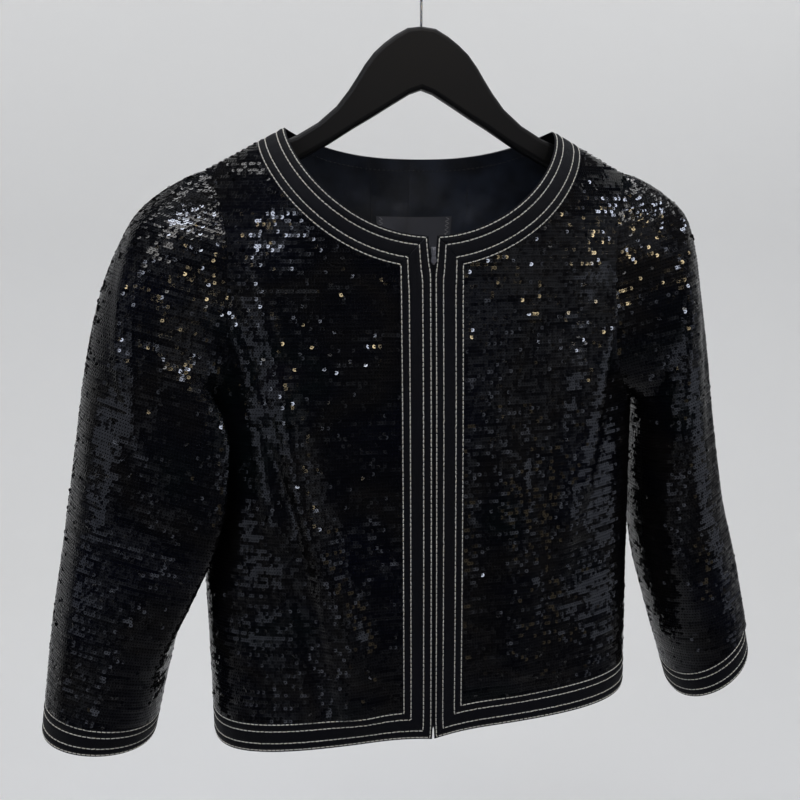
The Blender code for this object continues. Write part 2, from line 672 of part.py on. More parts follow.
def label(name, facing_wall):
    """The sewn-in label, blank, on the facing's own points."""
    behind, before = facing_wall
    middle = before.shape[1] // 2
    columns = slice(middle - LABEL_COLUMNS, middle + LABEL_COLUMNS + 1)
    heights = before[:, middle, 2] - NECK_Z
    first, last = np.interp([LABEL_FOOT, LABEL_TOP], heights, np.arange(len(heights)))
    rows = np.concatenate([[first], np.arange(math.ceil(first), math.floor(last) + 1), [last]])
    low = np.floor(rows).astype(int)
    part_way = (rows - low)[:, None, None]
    base = mix(before[low, columns], before[low + 1, columns], part_way)
    out = mix(behind[low, columns], behind[low + 1, columns], part_way) - base
    out = out / np.linalg.norm(out, axis=-1, keepdims=True)
    grid_mesh(name, base - out * SEAM, base - out * (SEAM + LABEL_THICK), "label_cloth")


def zip_tape(name, side, band_inner):
    """One side of the zip's tape, on the back of the front band's points, moved in, and proud of its edge."""
    edge, across = band_inner[0, 1:-1], band_inner[1, 1:-1]
    down = np.gradient(edge, axis=0)
    out = np.cross(across - edge, down) * side
    out = out / np.linalg.norm(out, axis=-1, keepdims=True)
    face = np.stack([mix(edge, across, TAPE_PROUD), mix(edge, across, TAPE_REACH)])
    skins = [face - out * SEAM, face - out * (SEAM + TAPE_THICK)]
    for skin in skins:
        skin[0, :, 0] = side * np.maximum(side * skin[0, :, 0], SEAM / 2)
    grid_mesh(name, *skins, "zip_tape")


def front_middle(height):
    """The point of the band's front surface on the garment's middle line."""
    return torso(0.0, height, 1, "front") - np.array([0, BAND_RISE, 0])


def beveled_box(name, size, centre, width, look):
    shape = bmesh.new()
    bmesh.ops.create_cube(shape, size=1.0)
    bmesh.ops.scale(shape, vec=Vector(size), verts=shape.verts)
    mesh = bpy.data.meshes.new(name)
    shape.to_mesh(mesh)
    shape.free()
    obj = add_object(name, mesh, look)
    obj.location = centre
    bevel = obj.modifiers.new("Rounded edges", "BEVEL")
    bevel.width = width
    bevel.segments = 2
    return obj


def outline_object(name, points, thick, look, edge=0.0):
    """A flat outline in the XZ plane, with thickness along Y."""
    curve = bpy.data.curves.new(name, "CURVE")
    curve.dimensions = "2D"
    curve.fill_mode = "BOTH"
    curve.extrude = thick / 2 - edge
    curve.bevel_depth = edge
    curve.bevel_resolution = 2
    curve.offset = -edge
    spline = curve.splines.new("POLY")
    spline.points.add(len(points) - 1)
    for point, (x, height) in zip(spline.points, points):
        point.co = (x, height, 0, 1)
    spline.use_cyclic_u = True
    obj = add_object(name, curve, look)
    obj.rotation_euler = (math.pi / 2, 0, 0)
    return obj


def as_mesh(obj):
    """The same object with its evaluated shape as a welded mesh."""
    bpy.context.view_layer.update()
    graph = bpy.context.evaluated_depsgraph_get()
    mesh = bpy.data.meshes.new_from_object(obj.evaluated_get(graph))
    shape = bmesh.new()
    shape.from_mesh(mesh)
    bmesh.ops.remove_doubles(shape, verts=shape.verts, dist=WELD)
    shape.to_mesh(mesh)
    shape.free()
    made = bpy.data.objects.new(obj.name, mesh)
    made.matrix_world = obj.matrix_world
    name = obj.name
    bpy.data.objects.remove(obj, do_unlink=True)
    made.name = name
    jacket.objects.link(made)
    return made


def hanger():
    """The broad moulded hanger: arched in the middle, arms running down into the shoulders."""
    right = HANGER_TOP + HANGER_END + HANGER_BOTTOM
    left = tuple((-x, height) for x, height in right[-2:0:-1])
    obj = outline_object("hanger_body", right + left, HANGER_THICK, "hanger_plastic", HANGER_ROUND)
    obj.location = (0, 0, NECK_Z)
    as_mesh(obj).data.shade_smooth()


def hook():
    """The wire hook, in the hanger's plane: a straight shank below a round crook."""
    radius = HOOK_INSIDE + WIRE
    centre = Vector((0, 0, -HOOK_INSIDE))
    foot = Vector((0, 0, NECK_Z + HANGER_TOP[0][1] + SEAM))
    angles = np.linspace(HOOK_START, HOOK_END, HOOK_POINTS)
    crook = [centre + radius * Vector((math.sin(a), 0, math.cos(a))) for a in angles]
    bend = Vector((0, 0, crook[0].z - HOOK_NECK))
    path = [foot, bend] + crook
    curve = bpy.data.curves.new("hanger_hook", "CURVE")
    curve.dimensions = "3D"
    curve.bevel_depth = WIRE
    curve.bevel_resolution = 2
    curve.use_fill_caps = True
    spline = curve.splines.new("POLY")
    spline.points.add(len(path) - 1)
    for point, place in zip(spline.points, path):
        point.co = (*place, 1)
    add_object("hanger_hook", curve, "hook_wire")


def zip_parts():
    """The slider in the top of the gap, and the teardrop pull that hangs from it, clear of the bands."""
    front_y = front_middle(SLIDER_HEIGHT - PULL_LENGTH)[1] - SEAM
    back_y = front_middle(SLIDER_HEIGHT)[1] + SLIDER_BACK
    middle_z = NECK_Z + SLIDER_HEIGHT
    size = (SLIDER_WIDTH, back_y - front_y, SLIDER_TALL)
    beveled_box("zip_slider", size, (0, (front_y + back_y) / 2, middle_z), SLIDER_BEVEL, "zip_metal")
    hinge_z = middle_z + PULL_RISE
    pull_y = front_y - SEAM - PULL_THICK / 2
    top = PULL_TOP
    foot = PULL_WIDTH / 2
    length = PULL_LENGTH - top - foot
    round_top = [(top * math.cos(a), top * math.sin(a)) for a in np.linspace(0, math.pi, 7)]
    round_foot = [(foot * math.cos(a), -length + foot * math.sin(a)) for a in np.linspace(math.pi, 2 * math.pi, 9)]
    obj = outline_object("zip_pull", round_top + round_foot, PULL_THICK, "zip_metal")
    obj.location = (0, pull_y, hinge_z)
    as_mesh(obj)


def build():
    for side, word in ((-1, "left"), (1, "right")):
        front_panel(f"front_{word}", side)
        band_inner = front_band(f"front_band_{word}", side)[1]
        neck_band(f"neck_band_{word}", side)
        hem_band(f"hem_band_{word}", side)
        zip_tape(f"zip_tape_{word}", side, band_inner)
        seams = SEAMS_LEFT if side < 0 else SEAMS_RIGHT
        sleeve_piece(f"sleeve_{word}_upper", side, seams[0], seams[1])
        sleeve_piece(f"sleeve_{word}_under", side, seams[1], seams[0] + 2 * math.pi)
        cuff_band(f"cuff_band_{word}", side)
    panel_places = back_panel("back")
    hem_band_back("hem_band_back")
    band_places = neck_band_back("neck_band_back")
    facing_wall = facing("back_facing", panel_places, band_places)
    label("neck_label", facing_wall)
    hanger()
    hook()
    zip_parts()


clear_scene()
jacket = bpy.data.collections.new("cropped_jacket")
bpy.context.scene.collection.children.link(jacket)
build()
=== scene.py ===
"""Looks for the cropped jacket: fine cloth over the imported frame, sequins, topstitching, lining and zip.

The tables and surface functions are the part's own, so that each fine piece lies where its solid is.
"""
import math

import bmesh
import bpy
import numpy as np
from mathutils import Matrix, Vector


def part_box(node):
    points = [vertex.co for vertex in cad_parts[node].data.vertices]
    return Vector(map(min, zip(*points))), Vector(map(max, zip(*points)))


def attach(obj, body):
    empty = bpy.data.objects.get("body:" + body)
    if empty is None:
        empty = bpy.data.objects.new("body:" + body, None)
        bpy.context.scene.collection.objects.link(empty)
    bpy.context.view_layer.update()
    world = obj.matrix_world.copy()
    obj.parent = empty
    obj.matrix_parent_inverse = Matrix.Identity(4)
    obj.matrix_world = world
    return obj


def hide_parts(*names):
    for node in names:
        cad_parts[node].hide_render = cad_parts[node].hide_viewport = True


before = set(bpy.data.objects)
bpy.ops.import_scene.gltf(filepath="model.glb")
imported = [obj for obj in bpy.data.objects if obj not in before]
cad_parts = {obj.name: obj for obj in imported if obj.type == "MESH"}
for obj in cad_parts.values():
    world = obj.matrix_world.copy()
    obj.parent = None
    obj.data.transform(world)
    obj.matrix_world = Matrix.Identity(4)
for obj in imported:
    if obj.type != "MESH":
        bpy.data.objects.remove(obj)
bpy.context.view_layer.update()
BODY = "jacket"
SIDES = ((-1, "left"), (1, "right"))
TURN = 2 * math.pi
random = np.random.default_rng(7)

# The part's own tables and surfaces

# Frame
NECK_Z = -0.2455  # the bottom of the front neckline, below the hook's crown

# Cloth
WALL = 0.0015  # sequinned cloth with its lining
SEAM = 0.0003  # what neighbouring pieces keep between them
ARMHOLE_SEAM = 0.0005  # a little wider, since the armhole's two edges have their points in different places
BAND_WIDTH = 0.0272
BAND_RISE = 0.0006  # how far the folded band stands above the cloth beside it

TINY = 1e-5  # step from which slopes are found
ALIKE = 0.3  # cosine between two normals that face about the same way

# Torso: each row is a level section, half an oval in front of the hanger's plane and half behind it
HEM = -0.4376
UNDERARM = -0.152
TORSO = {
    "height":     (HEM,    -0.360, -0.300, UNDERARM, -0.050, 0.020, 0.100),
    "half_width": (0.1975, 0.1990, 0.2005, 0.1985,   0.203,  0.210, 0.214),
    "front":      (0.088,  0.086,  0.084,  0.077,    0.069,  0.063, 0.060),
    "back":       (0.050,  0.0495, 0.049,  0.047,    0.045,  0.043, 0.042),
    "square":     (3.8,    3.1,    2.6,    2.5,      2.4,    2.4,   2.4),
}

# Shoulders: a straight seam over the hanger, from which the cloth rounds away to its full depth
NECK_HALF = 0.117
NECK_TOP = 0.090
SHOULDER_HALF = 0.184
SHOULDER_TOP = 0.055
SHOULDER_SLOPE = (NECK_TOP - SHOULDER_TOP) / (SHOULDER_HALF - NECK_HALF)
ROUND_DROP = 0.100
ROUND_POWER = 1.7
TOP_BUNCH = 1.7  # how the rows of a panel close up towards the shoulder
UNDERARM_BUNCH = 2.3  # and how they open out again above the underarm

# Necklines: powers of the curves, and the height of the back one at its middle
NECK_POWER = 4 / 3
BACK_NECK = 0.069
BACK_NECK_POWER = 2.6
BACK_NECK_TURN = 0.6  # the share of the back neck from which the band turns towards the shoulder seam
NECK_BUNCH = 1.3

# Armhole: how far from the middle the cloth is cut, by height
ARMHOLE = {
    "height": (UNDERARM, -0.146, -0.133, -0.105, -0.070, -0.020, 0.020, SHOULDER_TOP),
    "front":  (0.1985,   0.1920, 0.1800, 0.1700, 0.1660, 0.1660, 0.170, SHOULDER_HALF),
    "back":   (0.1985,   0.1940, 0.1860, 0.1790, 0.1750, 0.1740, 0.176, SHOULDER_HALF),
}

BACK_FLAT = 0.72  # the share of the back's height up to which its rows are level

# How the hung cloth differs from an even one: the left side of the hem hangs lower, by this slope
HEM_TILT = 0.076

# Centre front: half the gap between the two fronts, by height
ZIP_GAP = {
    "height": (HEM,    HEM + 0.012, HEM + 0.016, -0.032, -0.020, -0.012, 0.0),
    "half":   (0.0012, 0.0006,      0.0005,      0.0005, 0.0020, 0.0028, 0.0038),
}

# The stiff zip and bands push the front out into a ridge down the middle
RIDGE_HALF = 0.050
RIDGE_STAND = 0.007

# Folds, each a ridge from its top to its foot: half widths, and how far it stands out
TORSO_FOLDS = {
    "side":     (-1,     -1,     -1,     1,      1,      1),
    "top_at":   (0.160,  0.140,  0.100,  0.158,  0.120,  0.060),
    "top":      (-0.080, -0.060, -0.250, -0.080, -0.120, -0.200),
    "foot_at":  (0.135,  0.075,  0.065,  0.125,  0.095,  0.075),
    "foot":     (-0.230, -0.330, -0.400, -0.260, -0.300, -0.380),
    "spread":   (0.010,  0.012,  0.020,  0.014,  0.018,  0.018),
    "stand":    (0.0040, 0.0050, 0.0040, 0.0040, 0.0030, 0.0035),
}

FOLD_FADE = 0.25  # of a fold's length, beyond each end
SIDE_CALM = 0.25  # shares of the way round over which folds die out, at the side and at the middle
MIDDLE_CALM = 0.17

# Sleeves: each row is a section from its outer edge to its inner edge
SLEEVE_LEFT = {
    "along":   (0.0,   0.05,  0.12,   0.20,   0.28,   0.38,   0.50,   0.64,   0.82,   1.0),
    "outer_x": (0.190, 0.210, 0.2335, 0.2555, 0.2735, 0.2905, 0.3035, 0.3175, 0.3345, 0.3495),
    "outer":   (0.056, 0.047, 0.028,  -0.005, -0.045, -0.105, -0.170, -0.238, -0.318, -0.412),
    "inner_x": (0.200, 0.204, 0.2055, 0.2060, 0.2065, 0.2075, 0.2110, 0.220,  0.236,  0.253),
    "inner":   (UNDERARM, -0.160, -0.168, -0.180, -0.198, -0.226, -0.264, -0.312, -0.368, -0.434),
    "front":   (-0.047, -0.052, -0.058, -0.062, -0.065, -0.067, -0.068, -0.067, -0.068, -0.071),
    "back":    (0.032, 0.037, 0.041,  0.044,  0.045,  0.045,  0.042,  0.037,  0.029,  0.018),
    "tuck":    (0.0,   0.010, 0.026,  0.042,  0.049,  0.050,  0.044,  0.028,  0.008,  0.0),
}
SLEEVE_RIGHT = {
    "along":   (0.0,   0.05,  0.12,   0.20,   0.28,   0.38,   0.50,   0.64,   0.82,   1.0),
    "outer_x": (0.190, 0.208, 0.227,  0.240,  0.248,  0.256,  0.266,  0.280,  0.302,  0.323),
    "outer":   (0.056, 0.050, 0.033,  0.002,  -0.040, -0.100, -0.165, -0.236, -0.321, -0.419),
    "inner_x": (0.200, 0.204, 0.2055, 0.2060, 0.2065, 0.2075, 0.2090, 0.214,  0.230,  0.255),
    "inner":   (UNDERARM, -0.160, -0.168, -0.180, -0.198, -0.226, -0.264, -0.314, -0.381, -0.465),
    "front":   (-0.047, -0.052, -0.058, -0.062, -0.065, -0.067, -0.068, -0.069, -0.070, -0.071),
    "back":    (0.032, 0.037, 0.041,  0.044,  0.046,  0.046,  0.044,  0.040,  0.031,  0.020),
    "tuck":    (0.0,   0.0,   0.0,    0.0,    0.0,    0.0,    0.0,    0.0,    0.0,    0.0),
}
TUCK_ANGLE = math.radians(128)  # the inner front corner, which tucks over the front of the body
TUCK_SPREAD = math.radians(24)
TUCK_FORWARD = 0.25  # how far it comes forward for each unit inwards
SLEEVE_POWER = 0.9  # under 1 fills out its oval section
SLEEVE_SETTLES = 0.16  # the share of its length over which the sleeve's head leaves the armhole's shape
SLEEVE_LENGTH = 0.50  # along its middle, which turns a width at the cuff into a share of the length
SLEEVE_RADIUS = 0.05
# Where each sleeve's two seams run, round from the outer edge
SEAMS = {-1: (math.radians(15), math.radians(215)), 1: (math.radians(-35), math.radians(165))}

HANGER_HEIGHT = 0.1735  # the top of the hanger's middle

# Hook
WIRE = 0.0011
HOOK_INSIDE = 0.017
HOOK_START = math.radians(-90)  # its two ends, round from the crown
HOOK_END = math.radians(140)
HOOK_NECK = 0.024  # how far below the crook's start the straight shank ends

# Zip
TAPE_THICK = 0.0006
TAPE_PROUD = -0.08  # where the tape's two edges lie, from the band's edge to its middle
TAPE_REACH = 0.85
PULL_WIDTH = 0.0046
PULL_LENGTH = 0.0120
PULL_THICK = 0.0010
PULL_TOP = 0.0006  # radius of its top, less than its middle's distance from the slider, so that it can swing

# Back neck facing and label
FACING_THICK = 0.0008
LABEL_TOP = 0.017
LABEL_FOOT = -0.017
LABEL_THICK = 0.0006


def read_table(table, column, at, by="height"):
    """A column of a table as a smooth curve through its rows, kept level outside them."""
    places = np.asarray(table[by], float)
    values = np.asarray(table[column], float)
    steps = np.diff(places)
    slopes = np.diff(values) / steps
    tangents = np.zeros(len(places))
    same_way = slopes[:-1] * slopes[1:] > 0
    means = 2 * slopes[:-1] * slopes[1:] / np.where(same_way, slopes[:-1] + slopes[1:], 1)
    tangents[1:-1] = np.where(same_way, means, 0)
    tangents[0] = slopes[0]
    tangents[-1] = slopes[-1]
    at = np.clip(np.asarray(at, float), places[0], places[-1])
    row = np.clip(np.searchsorted(places, at, side="right") - 1, 0, len(steps) - 1)
    t = (at - places[row]) / steps[row]
    return (
        values[row] * (1 + 2 * t) * (1 - t) ** 2
        + values[row + 1] * t * t * (3 - 2 * t)
        + steps[row] * t * (1 - t) * (tangents[row] * (1 - t) - tangents[row + 1] * t)
    )


def ease(t):
    t = np.clip(t, 0, 1)
    return t * t * (3 - 2 * t)


def mix(a, b, t):
    return a + (b - a) * t


def shoulder_line(x):
    return NECK_TOP - SHOULDER_SLOPE * (np.abs(x) - NECK_HALF)


def hang(x, y, height):
    """Places a point of the even garment where the hung one has it."""
    return np.stack([x, y, NECK_Z + height + HEM_TILT * x * ease(height / HEM)], axis=-1)


def quarter_section(height, face):
    """Points of a quarter oval at each height, from the middle to the side, and how far along they are."""
    angle = np.linspace(0, math.pi / 2, 90)
    power = 2 / read_table(TORSO, "square", height)[..., None]
    x = read_table(TORSO, "half_width", height)[..., None] * np.sin(angle) ** power
    y = read_table(TORSO, face, height)[..., None] * np.clip(np.cos(angle), 0, 1) ** power
    steps = np.hypot(np.diff(x, axis=-1), np.diff(y, axis=-1))
    along = np.concatenate([np.zeros_like(x[..., :1]), np.cumsum(steps, axis=-1)], axis=-1)
    return x, y, along


def share_round(x, height, face):
    """How far round the quarter oval a distance from the middle is: 0 at the middle, 1 at the side."""
    x, height = np.broadcast_arrays(np.asarray(x, float), np.asarray(height, float))
    sides, _, along = quarter_section(height.ravel(), face)
    found = [np.interp(a, s, l / l[-1]) for a, s, l in zip(x.ravel(), sides, along)]
    return np.reshape(found, x.shape)


def ridges(table, across, along, side):
    """How far a table's folds, each from a top to a foot, lift the cloth at places across and along it."""
    lift = np.zeros_like(across)
    for row in range(len(table["side"])):
        fold = {name: values[row] for name, values in table.items()}
        if fold["side"] != side:
            continue
        share = (along - fold["top"]) / (fold["foot"] - fold["top"])
        middle = mix(fold["top_at"], fold["foot_at"], share)
        near = np.exp(-(((across - middle) / fold["spread"]) ** 2))
        lift += fold["stand"] * near * ease(1 + np.minimum(share, 1 - share) / FOLD_FADE)
    return lift


def calm(share):
    """How much of a fold is left at a share of the way round: they die out at the middle and the side."""
    return ease((1 - share) / SIDE_CALM) * ease(share / MIDDLE_CALM)


def torso(round_share, height, side, face):
    """The cloth's outer surface on one side of the garment's front or back."""
    round_share, height = np.broadcast_arrays(np.asarray(round_share, float), np.asarray(height, float))
    sides, depths, along = quarter_section(height.ravel(), face)
    x = np.empty(round_share.size)
    y = np.empty(round_share.size)
    for i, share in enumerate(round_share.ravel()):
        x[i] = np.interp(share * along[i, -1], along[i], sides[i])
        y[i] = np.interp(share * along[i, -1], along[i], depths[i])
    x = x.reshape(round_share.shape)
    y = y.reshape(round_share.shape)
    below = np.clip((shoulder_line(x) - height) / ROUND_DROP, 0, 1)
    y = y * (1 - (1 - below) ** ROUND_POWER) ** (1 / ROUND_POWER)
    if face == "front":
        folds = ridges(TORSO_FOLDS, x, height, side) * calm(round_share)
        y = y + folds + RIDGE_STAND * (1 - np.clip(x / RIDGE_HALF, 0, 1)) ** 2
    return hang(side * x, y if face == "back" else -y, height)


def normals(surface, a, b, out, *rest):
    """Unit normals of a surface at its coordinates a and b."""
    first = surface(a + TINY, b, *rest) - surface(a - TINY, b, *rest)
    second = surface(a, b + TINY, *rest) - surface(a, b - TINY, *rest)
    found = np.cross(first, second) * out
    return found / np.linalg.norm(found, axis=-1, keepdims=True)


def torso_normals(share, height, side, face):
    return normals(torso, share, height, side if face == "front" else -side, side, face)


def keep_side(points, face):
    """Holds a front piece in front of the side and shoulder seams, and a back piece behind them."""
    kept = points.copy()
    ahead = kept[..., 1]
    kept[..., 1] = np.minimum(ahead, -SEAM / 2) if face == "front" else np.maximum(ahead, SEAM / 2)
    return kept


def neckline(t):
    """The front neck edge, from the middle to the shoulder, as distance from the middle and height."""
    angle = t * math.pi / 2
    x = NECK_HALF * np.sin(angle)
    return x, NECK_TOP * (1 - np.clip(np.cos(angle), 0, 1) ** NECK_POWER)


def back_neckline(x):
    return BACK_NECK + (NECK_TOP - BACK_NECK) * (np.abs(x) / NECK_HALF) ** BACK_NECK_POWER


def spread_along(x, height, count):
    """The same curve as fewer points, which close up towards the shoulder, where the cloth rounds over."""
    along = np.concatenate([[0], np.cumsum(np.hypot(np.diff(x), np.diff(height)))])
    places = along[-1] * (1 - (1 - np.linspace(0, 1, count)) ** NECK_BUNCH)
    return np.interp(places, along, x), np.interp(places, along, height)


def band_edge(width, count):
    """The line at a distance outside the front neckline, from the mitre to the shoulder seam."""
    t = np.linspace(0, 1, CURVE_POINTS)
    x, height = neckline(t)
    angle = np.arctan2(np.gradient(height, t), np.gradient(x, t)) - math.pi / 2
    angle = np.minimum(angle, -math.atan(SHOULDER_SLOPE))
    x = x + width * np.cos(angle)
    height = height + width * np.sin(angle)
    height[-1] = shoulder_line(x[-1])
    mitred = x >= width
    x, height = x[mitred], height[mitred]
    first = np.interp(width, x, height)
    return spread_along(np.append(width, x), np.append(first, height), count)


def corner_height(width):
    """Where the line at a distance inside the front edge meets the one that follows the neck."""
    return band_edge(width, 2)[1][0]


def zip_gap(height):
    return read_table(ZIP_GAP, "half", height)


def back_edge(x, width):
    """The line at a distance below the back neckline."""
    t = np.linspace(0, 1, CURVE_POINTS)
    neck_x = NECK_HALF * t
    height = back_neckline(neck_x)
    angle = np.arctan2(np.gradient(height, neck_x), 1) - math.pi / 2
    end = -math.atan(SHOULDER_SLOPE)
    angle = mix(angle, end, ease((t - BACK_NECK_TURN) / (1 - BACK_NECK_TURN)))
    return np.interp(x, neck_x + width * np.cos(angle), height + width * np.sin(angle))


# Finer forms than the solids have

# Narrow creases, drawn like the part's folds
CREASES = {
    "side":     (-1,     -1,     -1,     -1,     -1,     1,      1,      1,      1),
    "top_at":   (0.168,  0.150,  0.118,  0.128,  0.060,  0.165,  0.150,  0.075,  0.120),
    "top":      (-0.060, -0.070, -0.160, -0.290, -0.250, -0.060, -0.100, -0.170, -0.250),
    "foot_at":  (0.120,  0.098,  0.080,  0.110,  0.070,  0.140,  0.118,  0.090,  0.110),
    "foot":     (-0.200, -0.260, -0.390, -0.400, -0.360, -0.210, -0.250, -0.340, -0.390),
    "spread":   (0.0050, 0.0060, 0.0060, 0.0080, 0.0090, 0.0060, 0.0080, 0.0080, 0.0100),
    "stand":    (0.0022, 0.0026, 0.0024, 0.0018, 0.0016, 0.0018, 0.0018, 0.0018, 0.0016),
}
# The same on the sleeves: angles round them, in degrees, and shares of their length
SLEEVE_CREASES = {
    "side":      (-1,    -1,    -1,    -1,    -1,    1,     1,     1,     1,    1),
    "top_at":    (20,    60,    95,    50,    110,   20,    70,    110,   30,   130),
    "top":       (0.10,  0.16,  0.20,  0.45,  0.48,  0.12,  0.16,  0.30,  0.40, 0.50),
    "foot_at":   (70,   100,   70,    55,    95,    40,    100,   90,    35,   110),
    "foot":      (0.30,  0.38,  0.55,  0.90,  0.85,  0.60,  0.36,  0.60,  0.92, 0.80),
    "spread":    (9,     10,    10,    12,    10,    10,    11,    12,    9,    12),
    "stand":     (0.0018, 0.0022, 0.0020, 0.0018, 0.0016, 0.0022, 0.0020, 0.0018, 0.0020, 0.0016),
}
CREASES_START = 0.3  # of the length over which the sleeve's head leaves the armhole's shape


def unit(vectors):
    return vectors / np.maximum(np.linalg.norm(vectors, axis=-1, keepdims=True), 1e-12)


def lengths(points):
    """Distance along a row of points, from its first."""
    return np.concatenate([[0], np.cumsum(np.linalg.norm(np.diff(points, axis=0), axis=-1))])


def sample(grid, row, column):
    """A grid's values at fractional rows and columns."""
    i = np.clip(np.floor(row).astype(int), 0, grid.shape[0] - 2)
    j = np.clip(np.floor(column).astype(int), 0, grid.shape[1] - 2)
    s, t = row - i, column - j
    if grid.ndim > 2:
        s, t = s[..., None], t[..., None]
    return mix(mix(grid[i, j], grid[i, j + 1], t), mix(grid[i + 1, j], grid[i + 1, j + 1], t), s)


def along_at(spots, along, values):
    """Rows of values, read at spots along a path on which they lie at the distances given."""
    return np.stack([np.interp(spots, along, column) for column in values.T], axis=1)


class Wall:
    """A piece of cloth as two grids of points, its outer skin's normals, and its size."""

    def __init__(self, outer, inner, level=None):
        self.outer, self.inner, self.level = outer, inner, level
        down = np.gradient(outer, axis=0)
        across = np.gradient(outer, axis=1)
        out = np.cross(down, across)
        out /= np.maximum(np.linalg.norm(out, axis=-1, keepdims=True), 1e-12)
        if (out * (outer - inner)).sum() < 0:
            out = -out
        self.out = out

    def at(self, row, column):
        """Points and normals of the outer skin at fractional rows and columns."""
        return sample(self.outer, row, column), unit(sample(self.out, row, column))


def torso_fine(share, height, side, face, rise=0.0, thick=WALL, creased=True):
    """Both skins of a piece of the torso, with its narrow creases. rise may be a grid."""
    rise = np.broadcast_to(np.asarray(rise, float), share.shape)[..., None]
    points = torso(share, height, side, face)
    out = torso_normals(share, height, side, face)
    if creased and face == "front":
        lift = ridges(CREASES, side * points[..., 0], height, side) * calm(share)
        points = points + out * lift[..., None]
    return keep_side(points + out * rise, face), keep_side(points + out * (np.mean(rise) - thick), face)


def torso_level(height, face):
    """Distance up from the hem over the cloth, half way from the middle to the side."""
    levels = np.linspace(HEM, NECK_TOP, CURVE_POINTS)
    over = lengths(torso(np.full(CURVE_POINTS, 0.5), levels, 1, face))
    return np.interp(height, levels, over)


def mirrored(right, left):
    """A grid that runs from the left side to the right, from one for each side that starts at the middle."""
    return np.concatenate([left[:, :0:-1], right], axis=1)


def both_sides(share, height, rise=0.0, thick=WALL):
    """Both skins of a piece that crosses the middle of the back."""
    rise = np.broadcast_to(np.asarray(rise, float), share.shape)
    halves = (torso_fine(share, height, side, "back", rise, thick) for side in (1, -1))
    return [mirrored(right, left) for right, left in zip(*halves)]


# How many rows and columns each panel's surface is worked out with
LOW_ROWS, ARMHOLE_ROWS, SHOULDER_ROWS, FRONT_COLUMNS = 80, 50, 70, 84
BACK_LOW_ROWS, BACK_ARMHOLE_ROWS, BACK_TOP_ROWS, BACK_COLUMNS = 70, 36, 56, 73
NECK_PART = 2 / 3  # the share of the back's columns that end under the neck band
NECK_COLUMNS = 1 + round((BACK_COLUMNS - 1) * NECK_PART)
CURVE_POINTS = 200  # along each curve that is followed
TUCKED = 0.0002  # how far the panels reach under the bands


def front_places():
    """Places on a front panel, as shares of the way round and heights."""
    inset = BAND_WIDTH - TUCKED
    edge_x, edge_height = band_edge(inset, SHOULDER_ROWS)
    armhole = mix(UNDERARM, edge_height[0], np.linspace(0, 1, ARMHOLE_ROWS)[1:] ** UNDERARM_BUNCH)
    low = np.concatenate([np.linspace(HEM + inset, UNDERARM, LOW_ROWS), armhole])
    high = 1 - (1 - np.linspace(0, 1, SHOULDER_ROWS)[1:]) ** TOP_BUNCH
    inner_height = np.concatenate([low, edge_height[1:]])
    outer_height = np.concatenate([low, mix(low[-1], SHOULDER_TOP, high)])
    inner_x = np.concatenate([np.full(len(low), inset), edge_x[1:]])
    share_in = share_round(inner_x, inner_height, "front")
    share_out = share_round(read_table(ARMHOLE, "front", outer_height), outer_height, "front")
    share_out = np.where(outer_height <= UNDERARM, 1, share_out)
    t = np.linspace(0, 1, FRONT_COLUMNS)[None, :]
    return mix(share_in[:, None], share_out[:, None], t), mix(inner_height[:, None], outer_height[:, None], t)


def back_places():
    """Places on the back panel, from its middle to its side."""
    inset = BAND_WIDTH - TUCKED
    edge_x = np.linspace(0, NECK_HALF + inset * math.cos(math.atan(SHOULDER_SLOPE)), BACK_COLUMNS)
    top_height = back_edge(edge_x, inset)
    hem_level = HEM + inset
    underarm = (UNDERARM - hem_level) / (SHOULDER_TOP - hem_level)
    armhole = mix(underarm, BACK_FLAT, np.linspace(0, 1, BACK_ARMHOLE_ROWS)[1:] ** UNDERARM_BUNCH)
    top_rows = mix(BACK_FLAT, 1, 1 - (1 - np.linspace(0, 1, BACK_TOP_ROWS)[1:]) ** TOP_BUNCH)
    rows = np.concatenate([np.linspace(0, underarm, BACK_LOW_ROWS), armhole, top_rows])
    t = np.linspace(0, 1, BACK_COLUMNS)
    corner_x = edge_x[-1]
    beyond = mix(corner_x, SHOULDER_HALF, (t - NECK_PART) / (1 - NECK_PART))
    row_x = np.where(t < NECK_PART, corner_x * t / NECK_PART, beyond)
    top = np.where(row_x <= corner_x, np.interp(row_x, edge_x, top_height), shoulder_line(row_x))
    level = mix(hem_level, SHOULDER_TOP, rows)[:, None]
    rise = ease((rows - BACK_FLAT) / (1 - BACK_FLAT))[:, None]
    height = level + (top[None, :] - SHOULDER_TOP) * rise
    side_share = share_round(read_table(ARMHOLE, "back", level), level, "back")
    side_share = np.where(level <= UNDERARM, 1, side_share)
    at_top = share_round(row_x, top, "back")
    return side_share * mix(t[None, :], (at_top / at_top[-1])[None, :], rise), height


# Bands: how far their face stands at each distance across, pressed down by the lines of stitches
PAIR_GAUGE = 0.00635
EDGE_LINE = 0.00175  # from a band's edge to its first line of stitches
LINES = (EDGE_LINE, EDGE_LINE + PAIR_GAUGE, BAND_WIDTH - EDGE_LINE - PAIR_GAUGE, BAND_WIDTH - EDGE_LINE)
BAND_ROWS = 33
MEETING = 0.00002  # what the bands keep between them where they are mitred
BAND_ROUND = 0.0012  # from the band's edge to its full height
PAIR_PUFF = 0.0005  # between two lines of stitches
MIDDLE_PUFF = 0.0004
MIDDLE_ROUND = 0.003
STITCH_DIP = 0.00035
STITCH_DIP_HALF = 0.0007
RIPPLE = 0.00012
RIPPLE_STEP = 0.8  # how far round the wave a column is from the next
RIPPLE_EDGE = 0.003


